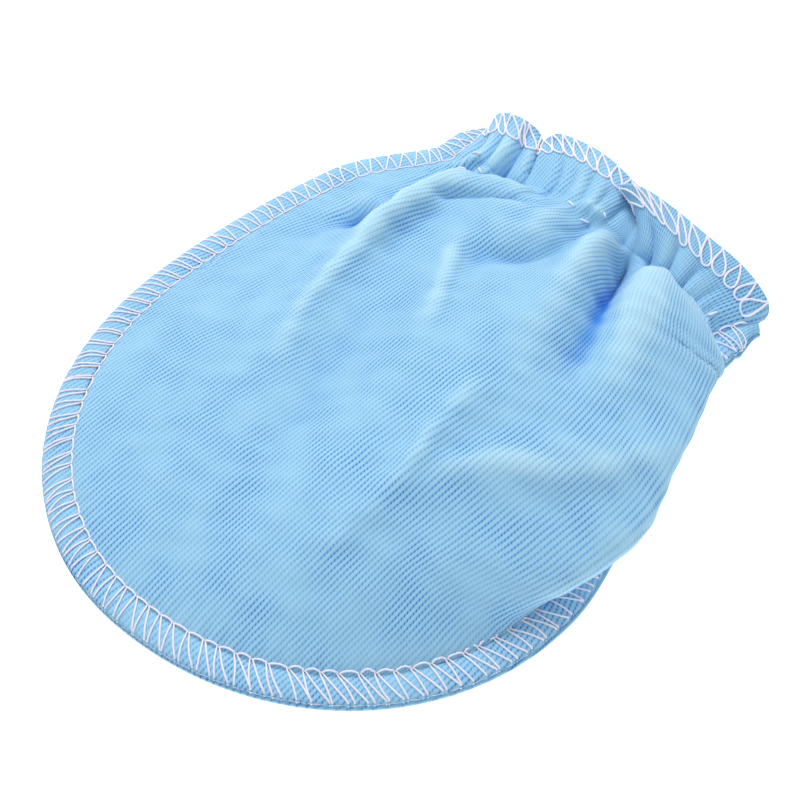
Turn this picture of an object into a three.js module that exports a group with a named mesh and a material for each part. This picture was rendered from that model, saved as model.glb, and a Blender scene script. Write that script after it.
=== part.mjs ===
import * as THREE from 'three';

// A newborn baby's scratch mitten, laid on its back panel. Millimetres, +Z up, +Y towards the cuff.
// Two cut pieces of cotton interlock are sewn edge to edge with the seam outside, and a sewn-in
// elastic gathers both of them at the cuff, past which they end in a loose frill.

// Driving sizes
const WALL = 1.0;
const LAYER_GAP = 0.3;
const RIM_WIDTH = 4.3;
const SEAM_HALF_WIDTH = 42;
const TIP_Y = -56.2;
const WIDEST_Y = { left: -8, right: -18 };
const ROUNDNESS = { left: 2.05, right: 2.1 };
const CORNER_Y = -33;
const ELASTIC_Y = 42.5;
const ELASTIC_DROP = 3;

// Where the seam runs above the widest place: how far it draws in, and how hard the elastic pulls it
const LEFT_TAPER = { length: 52.5, drawIn: 9.6, pinch: 5.0, pinchFrom: 26, pinchTo: 44 };
const RIGHT_TAPER = { slope: 0.335, softness: 8, flare: 5.2, flareFrom: 24, flareTo: 44 };

// Mid levels of the sewn edge: the back panel lies on the ground and the front panel on the back panel
const BACK_LEVEL = WALL / 2;
const FRONT_LEVEL = BACK_LEVEL + WALL + LAYER_GAP;

// How the front leaves the seam: the cloth rises over REACH, and on the right it also leans out
const REACH = { left: 19, right: 16, elastic: 6 };
const RISE_POWER = 3;
const LEAN = { most: 17.3, softness: 2.8, fadeFrom: 9, fadeTo: 24 };
const LEAN_ZONE = { yFrom: -33, yTo: -5, xFrom: 0, xTo: 14, cuffFrom: 12, cuffTo: -1 };
const ELASTIC_GRIP = { length: 3.2, power: 1.4 };
const FLAT_HEIGHT = 3;

// The frill lifts soon after the elastic and spreads sideways later, so its pleat deepens to the hem
const FRILL = { belly: 0.7, liftPower: 0.7, spreadPower: 1.5 };

// Broad swells of the front: centre, height, and reach along X and Y
const SWELLS = [
  { name: 'palm', x: 19, y: 2, height: 12.0, reachX: 27, reachY: 38 },
  { name: 'left of the palm', x: -10, y: 12, height: 3.5, reachX: 20, reachY: 26 },
  { name: 'fingertips', x: 2, y: -32, height: 2.5, reachX: 28, reachY: 18 },
  { name: 'left flat', x: -28, y: -18, height: 1.5, reachX: 14, reachY: 24 },
  { name: 'gathers, left', x: -4, y: 34, height: 4.0, reachX: 16, reachY: 10 },
  { name: 'gathers, right', x: 26, y: 30, height: 3.5, reachX: 10, reachY: 12 },
  { name: 'right side', x: 47, y: 6, height: 2.0, reachX: 11, reachY: 26 },
];

// Ridges and troughs of the front: x, y, height and half width at a few places along each
const FOLDS = {
  leftRidge: [
    [-20.5, 36, 3.0, 3.0], [-22.0, 24, 3.6, 3.4], [-21.7, 12, 3.2, 4.0], [-18, -8, 2.2, 5.5], [-12, -24, 1.0, 8],
  ],
  leftTrough: [[-10, 12, -0.6, 5], [-6.5, -5, -1.4, 6], [-1.7, -22, -1.6, 6], [3, -44, -0.8, 6]],
  seamValley: [[-37, -12, -0.4, 4], [-34, 8, -1.1, 4], [-29, 18.5, -1.6, 3], [-25, 21, -1.6, 2.8]],
  cuffPocket: [[-26, 26, -0.8, 2.8], [-25.5, 33, -1.5, 2.8], [-22.5, 41, -1.5, 2.4]],
  roll: [[-18, 31, 1.8, 3.2], [-15, 37, 2.4, 2.6], [-9.5, 39.2, 1.4, 2.4]],
  fanValley: [
    [2.3, 43, -3.0, 2.2], [3.4, 36, -2.8, 2.8], [3.4, 28, -2.4, 3.4], [-1, 22, -1.6, 3.6], [-7, 21, -0.4, 3.2],
  ],
  fanCrease: [[-6, 22, -0.8, 3], [-2, 13, -1.2, 3.6], [3, 2, -0.6, 4]],
  fanRidge: [[-10, 23, 0.8, 2.6], [-3.5, 11, 0.9, 2.6], [1, 2, 0.3, 3]],
  middleRidge: [[7.3, 42, 2.5, 2.4], [9.2, 31, 2.6, 3.0], [11.5, 20, 2.0, 3.6], [14, 6, 0.6, 5]],
  deepValley: [
    [10.2, 43, -2.6, 2.3], [13.0, 36, -4.4, 2.8], [17.3, 26, -4.4, 3.0], [21.8, 14, -3.0, 3.8], [23.8, 3, -0.8, 5.5],
  ],
  lobeRidge: [[18.5, 38, 2.5, 3.2], [21.5, 29, 1.8, 4.5], [27, 16, 0.8, 6.5]],
  lobeDimple: [[15.5, 41, -1.6, 2.2], [18.5, 40.5, -1.2, 2.2]],
  rightCrest: [[42, 9, 0.5, 4], [36, 0, 1.3, 4.4], [29, -9, 1.3, 4.4], [21, -20, 0.9, 4]],
  palmRidge: [[16, -3, 0.8, 3.4], [17.5, -18, 1.0, 3.4], [16.5, -35, 0.8, 3.4]],
};

// Height of the front over the elastic: share of the way across, height
const ELASTIC_HEIGHTS = [
  [0, 1.8], [0.04, 4.2], [0.075, 5.8], [0.12, 4.9], [0.16, 4.5], [0.24, 4.9],
  [0.34, 6.7], [0.43, 8.8], [0.50, 10.0], [0.545, 9.4], [0.59, 7.2], [0.635, 5.5],
  [0.70, 5.6], [0.78, 6.2], [0.88, 5.4], [0.95, 3.8], [1, 1.8],
];

// The frill's hem: share of the way across, x, y, z
const FRONT_HEM = [
  [0.00, -27.5, 54.0, 1.8], [0.06, -27.6, 53.4, 4.4], [0.12, -25.5, 52.8, 7.0], [0.19, -21.8, 52.4, 8.4],
  [0.25, -18.6, 52.6, 7.9], [0.295, -16.6, 52.4, 5.6], [0.335, -15.4, 52.7, 7.4], [0.37, -13.6, 52.9, 9.2],
  [0.43, -9.0, 52.9, 9.9], [0.49, -4.0, 53.3, 9.4], [0.55, 1.6, 53.7, 6.8], [0.59, 5.0, 53.8, 4.3],
  [0.61, 7.3, 53.4, 4.5], [0.63, 8.1, 52.4, 6.2], [0.65, 6.4, 51.2, 7.6], [0.67, 3.9, 50.0, 8.2],
  [0.688, 2.3, 49.2, 9.5], [0.705, 3.1, 48.9, 11.1], [0.725, 5.8, 49.2, 11.9], [0.76, 10.6, 50.0, 10.4],
  [0.81, 16.2, 50.4, 8.6], [0.88, 24.4, 50.6, 6.6], [0.94, 30.8, 49.6, 4.2], [0.975, 33.2, 48.0, 2.6],
  [1.00, 33.0, 45.6, 1.8],
];
const BACK_HEM = { bowFrom: 0.55, waves: 5, height: 0.9 };
const BACK_GATHERS = { waves: 5, height: 0.8, length: 16 };

// Grids: cells across, cells from the tip to the elastic, cells from the elastic to the hem
const FRONT_GRID = { across: 62, body: 34, frill: 8 };
const BACK_GRID = { across: 24, body: 22, frill: 4 };

const cloth = (name) => new THREE.MeshStandardMaterial({ name, color: 0x9ccff0, roughness: 0.9, metalness: 0 });

const smooth = (from, to, value) => {
  const share = THREE.MathUtils.clamp((value - from) / (to - from), 0, 1);
  return share * share * (3 - 2 * share);
};

// A curve through the rows of a table, at a parameter that counts rows
function splineAt(rows, parameter) {
  const last = rows.length - 1;
  const index = Math.min(Math.floor(parameter), last - 1);
  const f = parameter - index;
  const before = rows[index - 1] ?? rows[index].map((v, k) => 2 * v - rows[index + 1][k]);
  const after = rows[index + 2] ?? rows[index + 1].map((v, k) => 2 * v - rows[index][k]);
  return rows[index].map((b, k) => {
    const a = before[k];
    const c = rows[index + 1][k];
    const d = after[k];
    return 0.5 * (2 * b + (c - a) * f + (2 * a - 5 * b + 4 * c - d) * f ** 2 + (3 * b - a - 3 * c + d) * f ** 3);
  });
}

// A table read by its first column
function lookup(rows, key) {
  let row = 0;
  while (row < rows.length - 2 && rows[row + 1][0] < key) row += 1;
  let low = row;
  let high = row + 1;
  for (let step = 0; step < 24; step += 1) {
    const middle = (low + high) / 2;
    if (splineAt(rows, middle)[0] < key) low = middle;
    else high = middle;
  }
  return splineAt(rows, (low + high) / 2);
}

// The round end of the seam, as the half width at a height
function roundEnd(y, side) {
  const widest = WIDEST_Y[side];
  const share = THREE.MathUtils.clamp((widest - y) / (widest - TIP_Y), 0, 1);
  return SEAM_HALF_WIDTH * (1 - share ** ROUNDNESS[side]) ** (1 / ROUNDNESS[side]);
}

function rightTaper(y) {
  const { slope, softness, flare, flareFrom, flareTo } = RIGHT_TAPER;
  const taper = slope * (Math.hypot(y - WIDEST_Y.right, softness) - softness);
  return SEAM_HALF_WIDTH - taper + flare * smooth(flareFrom, flareTo, y);
}

// Where the seam line runs at a height: x on the left or on the right
function seamX(y, side) {
  if (y < WIDEST_Y[side]) return (side === 'left' ? -1 : 1) * roundEnd(y, side);
  if (side === 'left') {
    const share = (y - WIDEST_Y.left) / LEFT_TAPER.length;
    const pinch = LEFT_TAPER.pinch * smooth(LEFT_TAPER.pinchFrom, LEFT_TAPER.pinchTo, y);
    return -(SEAM_HALF_WIDTH - LEFT_TAPER.drawIn * share ** 2 - pinch);
  }
  return rightTaper(y);
}

// The round end as a curve from the left corner past the tip to the right corner, even in length
const TIP_ARC = (() => {
  const steps = 600;
  const points = [];
  for (let k = 0; k <= steps; k += 1) {
    const angle = (Math.PI * k) / steps;
    const side = angle < Math.PI / 2 ? 'left' : 'right';
    const power = 2 / ROUNDNESS[side];
    const x = -SEAM_HALF_WIDTH * Math.sign(Math.cos(angle)) * Math.abs(Math.cos(angle)) ** power;
    const y = WIDEST_Y[side] - (WIDEST_Y[side] - TIP_Y) * Math.sin(angle) ** power;
    if (y <= CORNER_Y) points.push(new THREE.Vector2(x, y));
  }
  points.unshift(new THREE.Vector2(seamX(CORNER_Y, 'left'), CORNER_Y));
  points.push(new THREE.Vector2(seamX(CORNER_Y, 'right'), CORNER_Y));
  const lengths = [0];
  for (let k = 1; k < points.length; k += 1) lengths.push(lengths[k - 1] + points[k].distanceTo(points[k - 1]));
  return { points, lengths, total: lengths.at(-1) };
})();

function tipArc(share) {
  const target = share * TIP_ARC.total;
  let k = 1;
  while (k < TIP_ARC.lengths.length - 1 && TIP_ARC.lengths[k] < target) k += 1;
  const part = (target - TIP_ARC.lengths[k - 1]) / (TIP_ARC.lengths[k] - TIP_ARC.lengths[k - 1]);
  return TIP_ARC.points[k - 1].clone().lerp(TIP_ARC.points[k], part);
}

const elasticY = (across) => ELASTIC_Y - ELASTIC_DROP * smooth(0.55, 1, across);

// A place in the panel's plan: across from the left seam to the right one, along from tip to elastic
function planPoint(across, along) {
  const bottom = tipArc(across);
  const ends = [0, 1].map((side) => {
    const low = tipArc(side);
    const name = side === 0 ? 'left' : 'right';
    const y = THREE.MathUtils.lerp(low.y, elasticY(side), along);
    const top = new THREE.Vector2(seamX(elasticY(side), name), elasticY(side));
    return { low, top, edge: new THREE.Vector2(seamX(y, name), y) };
  });
  const [left, right] = ends;
  const top = new THREE.Vector2(THREE.MathUtils.lerp(left.top.x, right.top.x, across), elasticY(across));
  const blend = (axis) => {
    const lengthwise = (1 - along) * bottom[axis] + along * top[axis];
    const crosswise = (1 - across) * left.edge[axis] + across * right.edge[axis];
    const lowCorners = (1 - across) * left.low[axis] + across * right.low[axis];
    const topCorners = (1 - across) * left.top[axis] + across * right.top[axis];
    return lengthwise + crosswise - (1 - along) * lowCorners - along * topCorners;
  };
  return new THREE.Vector2(blend('x'), blend('y'));
}

const SEAM_LINE = (() => {
  const steps = 90;
  const points = [];
  for (let k = steps; k > 0; k -= 1) points.push(planPoint(0, k / steps));
  for (let k = 0; k <= steps; k += 1) points.push(planPoint(k / steps, 0));
  for (let k = 1; k <= steps; k += 1) points.push(planPoint(1, k / steps));
  return points.map((place, k) => {
    const along = points[Math.min(k + 1, points.length - 1)].clone().sub(points[Math.max(k - 1, 0)]);
    return { place, out: new THREE.Vector2(along.y, -along.x).normalize() };
  });
})();

// Distance in from the seam line, and the way out of the panel there
function fromSeam(point) {
  let distance = Infinity;
  const out = new THREE.Vector2();
  for (let k = 1; k < SEAM_LINE.length; k += 1) {
    const [start, end] = [SEAM_LINE[k - 1], SEAM_LINE[k]];
    const run = end.place.clone().sub(start.place);
    const offset = point.clone().sub(start.place);
    const share = THREE.MathUtils.clamp(offset.dot(run) / run.lengthSq(), 0, 1);
    offset.addScaledVector(run, -share);
    if (offset.length() < distance) {
      distance = offset.length();
      out.lerpVectors(start.out, end.out, share);
    }
  }
  return { distance, out: out.normalize() };
}

// A fold is a row of soft round dabs along its line, close enough to melt into one ridge or trough
const FOLD_DABS = Object.values(FOLDS).map((rows) => {
  const narrowest = Math.min(...rows.map((row) => row[3]));
  const places = rows.map(([x, y]) => new THREE.Vector2(x, y));
  const length = places.slice(1).reduce((sum, place, k) => sum + place.distanceTo(places[k]), 0);
  const count = Math.ceil(length / (0.55 * narrowest)) + 1;
  const spacing = length / count;
  return Array.from({ length: count + 1 }, (_, k) => {
    const [x, y, height, width] = splineAt(rows, (k / count) * (rows.length - 1));
    return { x, y, width, height: (height * spacing) / (width * Math.sqrt(Math.PI)) };
  });
}).flat();

function puffedHeight({ x, y }) {
  let height = FLAT_HEIGHT;
  for (const swell of SWELLS) {
    const offset = ((x - swell.x) / swell.reachX) ** 2 + ((y - swell.y) / swell.reachY) ** 2;
    height += swell.height * Math.exp(-offset);
  }
  for (const dab of FOLD_DABS) {
    height += dab.height * Math.exp(-((x - dab.x) ** 2 + (y - dab.y) ** 2) / dab.width ** 2);
  }
  return height;
}

const rise = (distance, reach) => 1 - (1 - THREE.MathUtils.clamp(distance / reach, 0, 1)) ** RISE_POWER;

// The middle of the front panel's wall, between the tip and the elastic
function frontBody(across, along) {
  const plan = planPoint(across, along);
  const { distance, out } = fromSeam(plan);
  const toElastic = Math.max(elasticY(across) - plan.y, 0);
  const grip = Math.exp(-((toElastic / ELASTIC_GRIP.length) ** ELASTIC_GRIP.power));
  const upward = smooth(LEAN_ZONE.yFrom, LEAN_ZONE.yTo, plan.y);
  const right = upward * smooth(LEAN_ZONE.xFrom, LEAN_ZONE.xTo, plan.x);
  const open = rise(distance, THREE.MathUtils.lerp(REACH.left, REACH.right, right));
  const lift = THREE.MathUtils.lerp(open, rise(distance, REACH.elastic), grip);
  const belowCuff = 1 - smooth(LEAN_ZONE.cuffFrom, LEAN_ZONE.cuffTo, toElastic);
  const start = (1 - Math.exp(-distance / LEAN.softness)) ** 2;
  const fade = 1 - smooth(LEAN.fadeFrom, LEAN.fadeTo, distance);
  const place = plan.clone().addScaledVector(out, LEAN.most * right * belowCuff * start * fade);
  const top = THREE.MathUtils.lerp(puffedHeight(place), lookup(ELASTIC_HEIGHTS, across)[1], grip);
  return new THREE.Vector3(place.x, place.y, FRONT_LEVEL + (top - FRONT_LEVEL) * lift);
}

// The middle of the front frill's wall, from the elastic to the hem
function frontFrill(across, down) {
  const start = frontBody(across, 1);
  const [, x, y, z] = lookup(FRONT_HEM, across);
  const belly = FRILL.belly * Math.sin(Math.PI * down) * Math.sqrt(Math.sin(Math.PI * across));
  return new THREE.Vector3(
    THREE.MathUtils.lerp(start.x, x, down ** FRILL.spreadPower),
    THREE.MathUtils.lerp(start.y, y, down),
    THREE.MathUtils.lerp(start.z, z, down ** FRILL.liftPower) + belly,
  );
}

// The middle of the back panel's wall: flat on the ground, with low gathers at the elastic
function backBody(across, along) {
  const plan = planPoint(across, along);
  const near = Math.exp(-(elasticY(across) - plan.y) / BACK_GATHERS.length);
  const wave = 0.5 - 0.5 * Math.cos(2 * Math.PI * BACK_GATHERS.waves * across);
  return new THREE.Vector3(plan.x, plan.y, BACK_LEVEL + BACK_GATHERS.height * wave * smooth(0.25, 1, near));
}

function backFrill(across, down) {
  const start = backBody(across, 1);
  const [, leftX, leftY] = FRONT_HEM[0];
  const [, rightX, rightY] = FRONT_HEM.at(-1);
  const bow = smooth(BACK_HEM.bowFrom, 1, across);
  const wave = 0.5 - 0.5 * Math.cos(2 * Math.PI * BACK_HEM.waves * across);
  const hem = new THREE.Vector3(
    THREE.MathUtils.lerp(leftX, rightX, across),
    THREE.MathUtils.lerp(leftY, rightY, bow),
    BACK_LEVEL + BACK_HEM.height * wave,
  );
  return start.lerp(hem, down);
}

// Over how many places to either side the rim takes its direction, so that it turns softly
const RIM_TURN = 2;

// How often each place of the frill is drawn towards its neighbours, so that its pleats turn softly.
// It is most halfway down, where a pleat is about to fold over.
const FRILL_EASING = 10;

// Rows stand closer together towards the elastic
const ROW_CROWDING = 0.5;
const rowShare = (share) => share * (1 + ROW_CROWDING * (1 - share));

// Shares across a panel, closer together where the cloth turns sharply
function columnShares(count, places) {
  const density = (share) => 1 + places.reduce((sum, { at, width, extra }) => (
    sum + extra * Math.exp(-(((share - at) / width) ** 2))), 0);
  const steps = 2000;
  const total = [0];
  for (let k = 1; k <= steps; k += 1) total.push(total[k - 1] + density((k - 0.5) / steps));
  return Array.from({ length: count + 1 }, (_, i) => {
    const target = (total[steps] * i) / count;
    let k = 0;
    while (k < steps && total[k] < target) k += 1;
    return i === count ? 1 : k / steps;
  });
}

// One panel as a closed wall: the grid and its rim outside the seam, half a wall up and half a wall down
function panel(grid, shares, body, frill, level) {
  const rows = grid.body + grid.frill;
  const points = [];
  const at = (i, j) => i * (rows + 1) + j;
  for (const across of shares) {
    for (let j = 0; j <= rows; j += 1) {
      const down = (j - grid.body) / grid.frill;
      points.push(j <= grid.body ? body(across, rowShare(j / grid.body)) : frill(across, down));
    }
  }
  for (let pass = 0; pass < FRILL_EASING; pass += 1) {
    const before = points.map((point) => point.clone());
    for (let i = 1; i < grid.across; i += 1) {
      for (let j = grid.body + 1; j <= rows; j += 1) {
        const between = before[at(i - 1, j)].clone().lerp(before[at(i + 1, j)], 0.5);
        points[at(i, j)].lerp(between, 0.5 * Math.sin((Math.PI * (j - grid.body)) / grid.frill));
      }
    }
  }
  const faces = [];
  const quad = (a, b, c, d) => faces.push([a, b, c], [a, c, d]);
  for (let i = 0; i < grid.across; i += 1) {
    for (let j = 0; j < rows; j += 1) quad(at(i, j), at(i + 1, j), at(i + 1, j + 1), at(i, j + 1));
  }
  const chain = [];
  for (let j = rows; j > 0; j -= 1) chain.push(at(0, j));
  for (let i = 0; i <= grid.across; i += 1) chain.push(at(i, 0));
  for (let j = 1; j <= rows; j += 1) chain.push(at(grid.across, j));
  const rim = chain.map((index, k) => {
    const before = points[chain[Math.max(k - RIM_TURN, 0)]];
    const after = points[chain[Math.min(k + RIM_TURN, chain.length - 1)]];
    const out = new THREE.Vector3(after.y - before.y, before.x - after.x, 0).normalize();
    const edge = points[index].clone().addScaledVector(out, RIM_WIDTH);
    points.push(edge.setZ(level));
    return points.length - 1;
  });
  for (let k = 1; k < chain.length; k += 1) quad(chain[k - 1], rim[k - 1], rim[k], chain[k]);

  const normals = points.map(() => new THREE.Vector3());
  for (const face of faces) {
    const [a, b, c] = face.map((index) => points[index]);
    const normal = b.clone().sub(a).cross(c.clone().sub(a));
    for (const index of face) normals[index].add(normal);
  }
  const count = points.length;
  for (const normal of normals) normal.normalize();
  const moved = (step) => points.map((point, k) => point.clone().addScaledVector(normals[k], step));
  const skin = [...moved(-WALL / 2), ...moved(WALL / 2)].flatMap((point) => point.toArray());
  const border = [...rim];
  for (let i = grid.across; i >= 0; i -= 1) border.push(at(i, rows));
  const triangles = [];
  for (const [a, b, c] of faces) triangles.push([a + count, b + count, c + count], [a, c, b]);
  for (let k = 0; k < border.length; k += 1) {
    const a = border[k];
    const b = border[(k + 1) % border.length];
    triangles.push([a, b, b + count], [a, b + count, a + count]);
  }
  const geometry = new THREE.BufferGeometry();
  geometry.setAttribute('position', new THREE.Float32BufferAttribute(skin, 3));
  geometry.setIndex(triangles.flat());
  geometry.computeVertexNormals();
  return geometry;
}

function frontPanel() {
  const shares = columnShares(FRONT_GRID.across, [
    { at: 0.0, width: 0.06, extra: 0.8 },
    { at: 0.31, width: 0.05, extra: 1.0 },
    { at: 0.655, width: 0.055, extra: 3.0 },
    { at: 0.58, width: 0.08, extra: 0.8 },
    { at: 0.83, width: 0.13, extra: 1.3 },
    { at: 0.94, width: 0.04, extra: 0.7 },
  ]);
  const shape = panel(FRONT_GRID, shares, frontBody, frontFrill, FRONT_LEVEL);
  const mesh = new THREE.Mesh(shape, cloth('light blue interlock, front'));
  mesh.name = 'front_panel';
  return mesh;
}

function backPanel() {
  const shares = columnShares(BACK_GRID.across, []);
  const shape = panel(BACK_GRID, shares, backBody, backFrill, BACK_LEVEL);
  const mesh = new THREE.Mesh(shape, cloth('light blue interlock, back'));
  mesh.name = 'back_panel';
  return mesh;
}

// The origin lies on the ground under the middle of the whole mitten
const mitten = new THREE.Group();
mitten.add(backPanel(), frontPanel());
const extent = new THREE.Box3().setFromObject(mitten);
const middle = extent.getCenter(new THREE.Vector3());
mitten.position.set(-middle.x, -middle.y, -extent.min.z);

export default mitten;
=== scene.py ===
"""A newborn baby's scratch mitten in light blue cotton interlock, laid on its back panel.

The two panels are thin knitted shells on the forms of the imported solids. The overlock stitches of the
seam and of the hem, and the zigzag stitches of the elastic, are thread laid on that cloth. Lengths are
in millimetres until a mesh is written, in metres.
"""

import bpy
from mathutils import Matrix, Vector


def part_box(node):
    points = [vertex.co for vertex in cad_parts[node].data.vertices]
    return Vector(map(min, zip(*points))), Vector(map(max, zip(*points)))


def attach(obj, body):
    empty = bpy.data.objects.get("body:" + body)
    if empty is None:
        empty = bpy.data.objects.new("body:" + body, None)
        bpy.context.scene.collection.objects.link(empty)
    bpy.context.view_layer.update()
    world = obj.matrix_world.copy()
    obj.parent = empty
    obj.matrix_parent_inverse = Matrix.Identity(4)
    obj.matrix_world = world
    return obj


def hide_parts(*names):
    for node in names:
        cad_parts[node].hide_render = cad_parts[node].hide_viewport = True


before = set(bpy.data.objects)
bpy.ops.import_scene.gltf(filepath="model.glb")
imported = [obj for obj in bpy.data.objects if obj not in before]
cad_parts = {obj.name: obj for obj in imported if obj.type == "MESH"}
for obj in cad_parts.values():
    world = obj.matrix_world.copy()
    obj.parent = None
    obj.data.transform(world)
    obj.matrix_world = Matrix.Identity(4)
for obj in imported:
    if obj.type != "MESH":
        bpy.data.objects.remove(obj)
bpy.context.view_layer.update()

import logging
import math
from dataclasses import dataclass, field
from enum import Enum
from typing import NamedTuple, Sequence

import bmesh
import bpy
import numpy as np
from mathutils import Vector
from mathutils.bvhtree import BVHTree

LOG = logging.getLogger("baby_mitten")
MM = 0.001
UV_SPAN = 125.0  # millimetres of flat cloth in one unit of the UV map
FRILL_FOLD_START = (-4.0, 1.0)  # millimetres past the elastic between which the frill's folds set in


class Side(Enum):
    """The side of the mitten, seen from above with the cuff away."""

    LEFT = "left"
    RIGHT = "right"


class Panel(Enum):
    """The two cut pieces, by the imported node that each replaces."""

    FRONT = "front_panel"
    BACK = "back_panel"


class Swell(NamedTuple):
    """A broad swell of the front: its centre, its height and how far it reaches."""

    x: float
    y: float
    height: float
    reach_x: float
    reach_y: float


class FoldPoint(NamedTuple):
    """A place along a ridge or trough: its height is negative in a trough."""

    x: float
    y: float
    height: float
    half_width: float


class FrillFold(NamedTuple):
    """A narrow fold of the frill, with its places and half width as shares of the way across.

    Its depth is in millimetres, negative into the cloth, and its fade is the share of the frill's height
    at which it has nearly gone.
    """

    at_elastic: float
    at_hem: float
    depth: float
    half_width: float
    fade: float

    def lift(self, across: np.ndarray, down: np.ndarray, to_elastic: np.ndarray) -> np.ndarray:
        """How far the fold lifts the cloth.

        Args:
            across: Share from the left seam to the right one.
            down: Share from the elastic to the hem.
            to_elastic: Millimetres past the elastic.

        Returns:
            The lift at each place, in millimetres.
        """
        line = self.at_elastic + (self.at_hem - self.at_elastic) * down
        start = smooth(*FRILL_FOLD_START, to_elastic)
        shown = start * (1 - smooth(0.6 * self.fade, self.fade + 0.15, down))
        return self.depth * bell(across - line, self.half_width) * shown


class HemPoint(NamedTuple):
    """A place on the frill's hem, at a share of the way across."""

    share: float
    x: float
    y: float
    z: float


class Crowding(NamedTuple):
    """Where the columns of a grid stand closer together."""

    at: float
    width: float
    extra: float


class Rib(NamedTuple):
    """One of the waves that make up the gathers: its pitch is a share of theirs."""

    height: float
    pitch: float
    phase: float
    sway: float
    sway_rate: float


def fold(*places: tuple[float, float, float, float]) -> list[FoldPoint]:
    """A fold as its places along it: x, y, height and half width."""
    return [FoldPoint(*place) for place in places]


SWELLS: dict[str, Swell] = {
    "palm": Swell(19, 2, 12.0, 27, 38),
    "right side": Swell(47, 6, 2.0, 11, 26),
    "left of the palm": Swell(-10, 12, 3.5, 20, 26),
    "fingertips": Swell(2, -32, 2.5, 28, 18),
    "left flat": Swell(-28, -18, 1.5, 14, 24),
    "gathers, left": Swell(-4, 34, 4.0, 16, 10),
    "gathers, right": Swell(26, 30, 3.5, 10, 12),
}

FOLDS: dict[str, list[FoldPoint]] = {
    "left ridge": fold(
        (-20.5, 36, 3.0, 3.0), (-22.0, 24, 3.6, 3.4), (-21.7, 12, 3.2, 4.0), (-18, -8, 2.2, 5.5),
        (-12, -24, 1.0, 8),
    ),
    "left trough": fold((-10, 12, -0.6, 5), (-6.5, -5, -1.4, 6), (-1.7, -22, -1.6, 6), (3, -44, -0.8, 6)),
    "seam valley": fold((-37, -12, -0.4, 4), (-34, 8, -1.1, 4), (-29, 18.5, -1.6, 3), (-25, 21, -1.6, 2.8)),
    "cuff pocket": fold((-26, 26, -0.8, 2.8), (-25.5, 33, -1.5, 2.8), (-22.5, 41, -1.5, 2.4)),
    "roll": fold((-18, 31, 1.8, 3.2), (-15, 37, 2.4, 2.6), (-9.5, 39.2, 1.4, 2.4)),
    "fan valley": fold(
        (2.3, 43, -3.0, 2.2), (3.4, 36, -2.8, 2.8), (3.4, 28, -2.4, 3.4), (-1, 22, -1.6, 3.6),
        (-7, 21, -0.4, 3.2),
    ),
    "fan crease": fold((-6, 22, -0.8, 3), (-2, 13, -1.2, 3.6), (3, 2, -0.6, 4)),
    "fan ridge": fold((-10, 23, 0.8, 2.6), (-3.5, 11, 0.9, 2.6), (1, 2, 0.3, 3)),
    "middle ridge": fold((7.3, 42, 2.5, 2.4), (9.2, 31, 2.6, 3.0), (11.5, 20, 2.0, 3.6), (14, 6, 0.6, 5)),
    "deep valley": fold(
        (10.2, 43, -2.6, 2.3), (13.0, 36, -4.4, 2.8), (17.3, 26, -4.4, 3.0), (21.8, 14, -3.0, 3.8),
        (23.8, 3, -0.8, 5.5),
    ),
    "lobe ridge": fold((18.5, 38, 2.5, 3.2), (21.5, 29, 1.8, 4.5), (27, 16, 0.8, 6.5)),
    "lobe dimple": fold((15.5, 41, -1.6, 2.2), (18.5, 40.5, -1.2, 2.2)),
    "right crest": fold((42, 9, 0.5, 4), (36, 0, 1.3, 4.4), (29, -9, 1.3, 4.4), (21, -20, 0.9, 4)),
    "palm ridge": fold((16, -3, 0.8, 3.4), (17.5, -18, 1.0, 3.4), (16.5, -35, 0.8, 3.4)),
}

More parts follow.
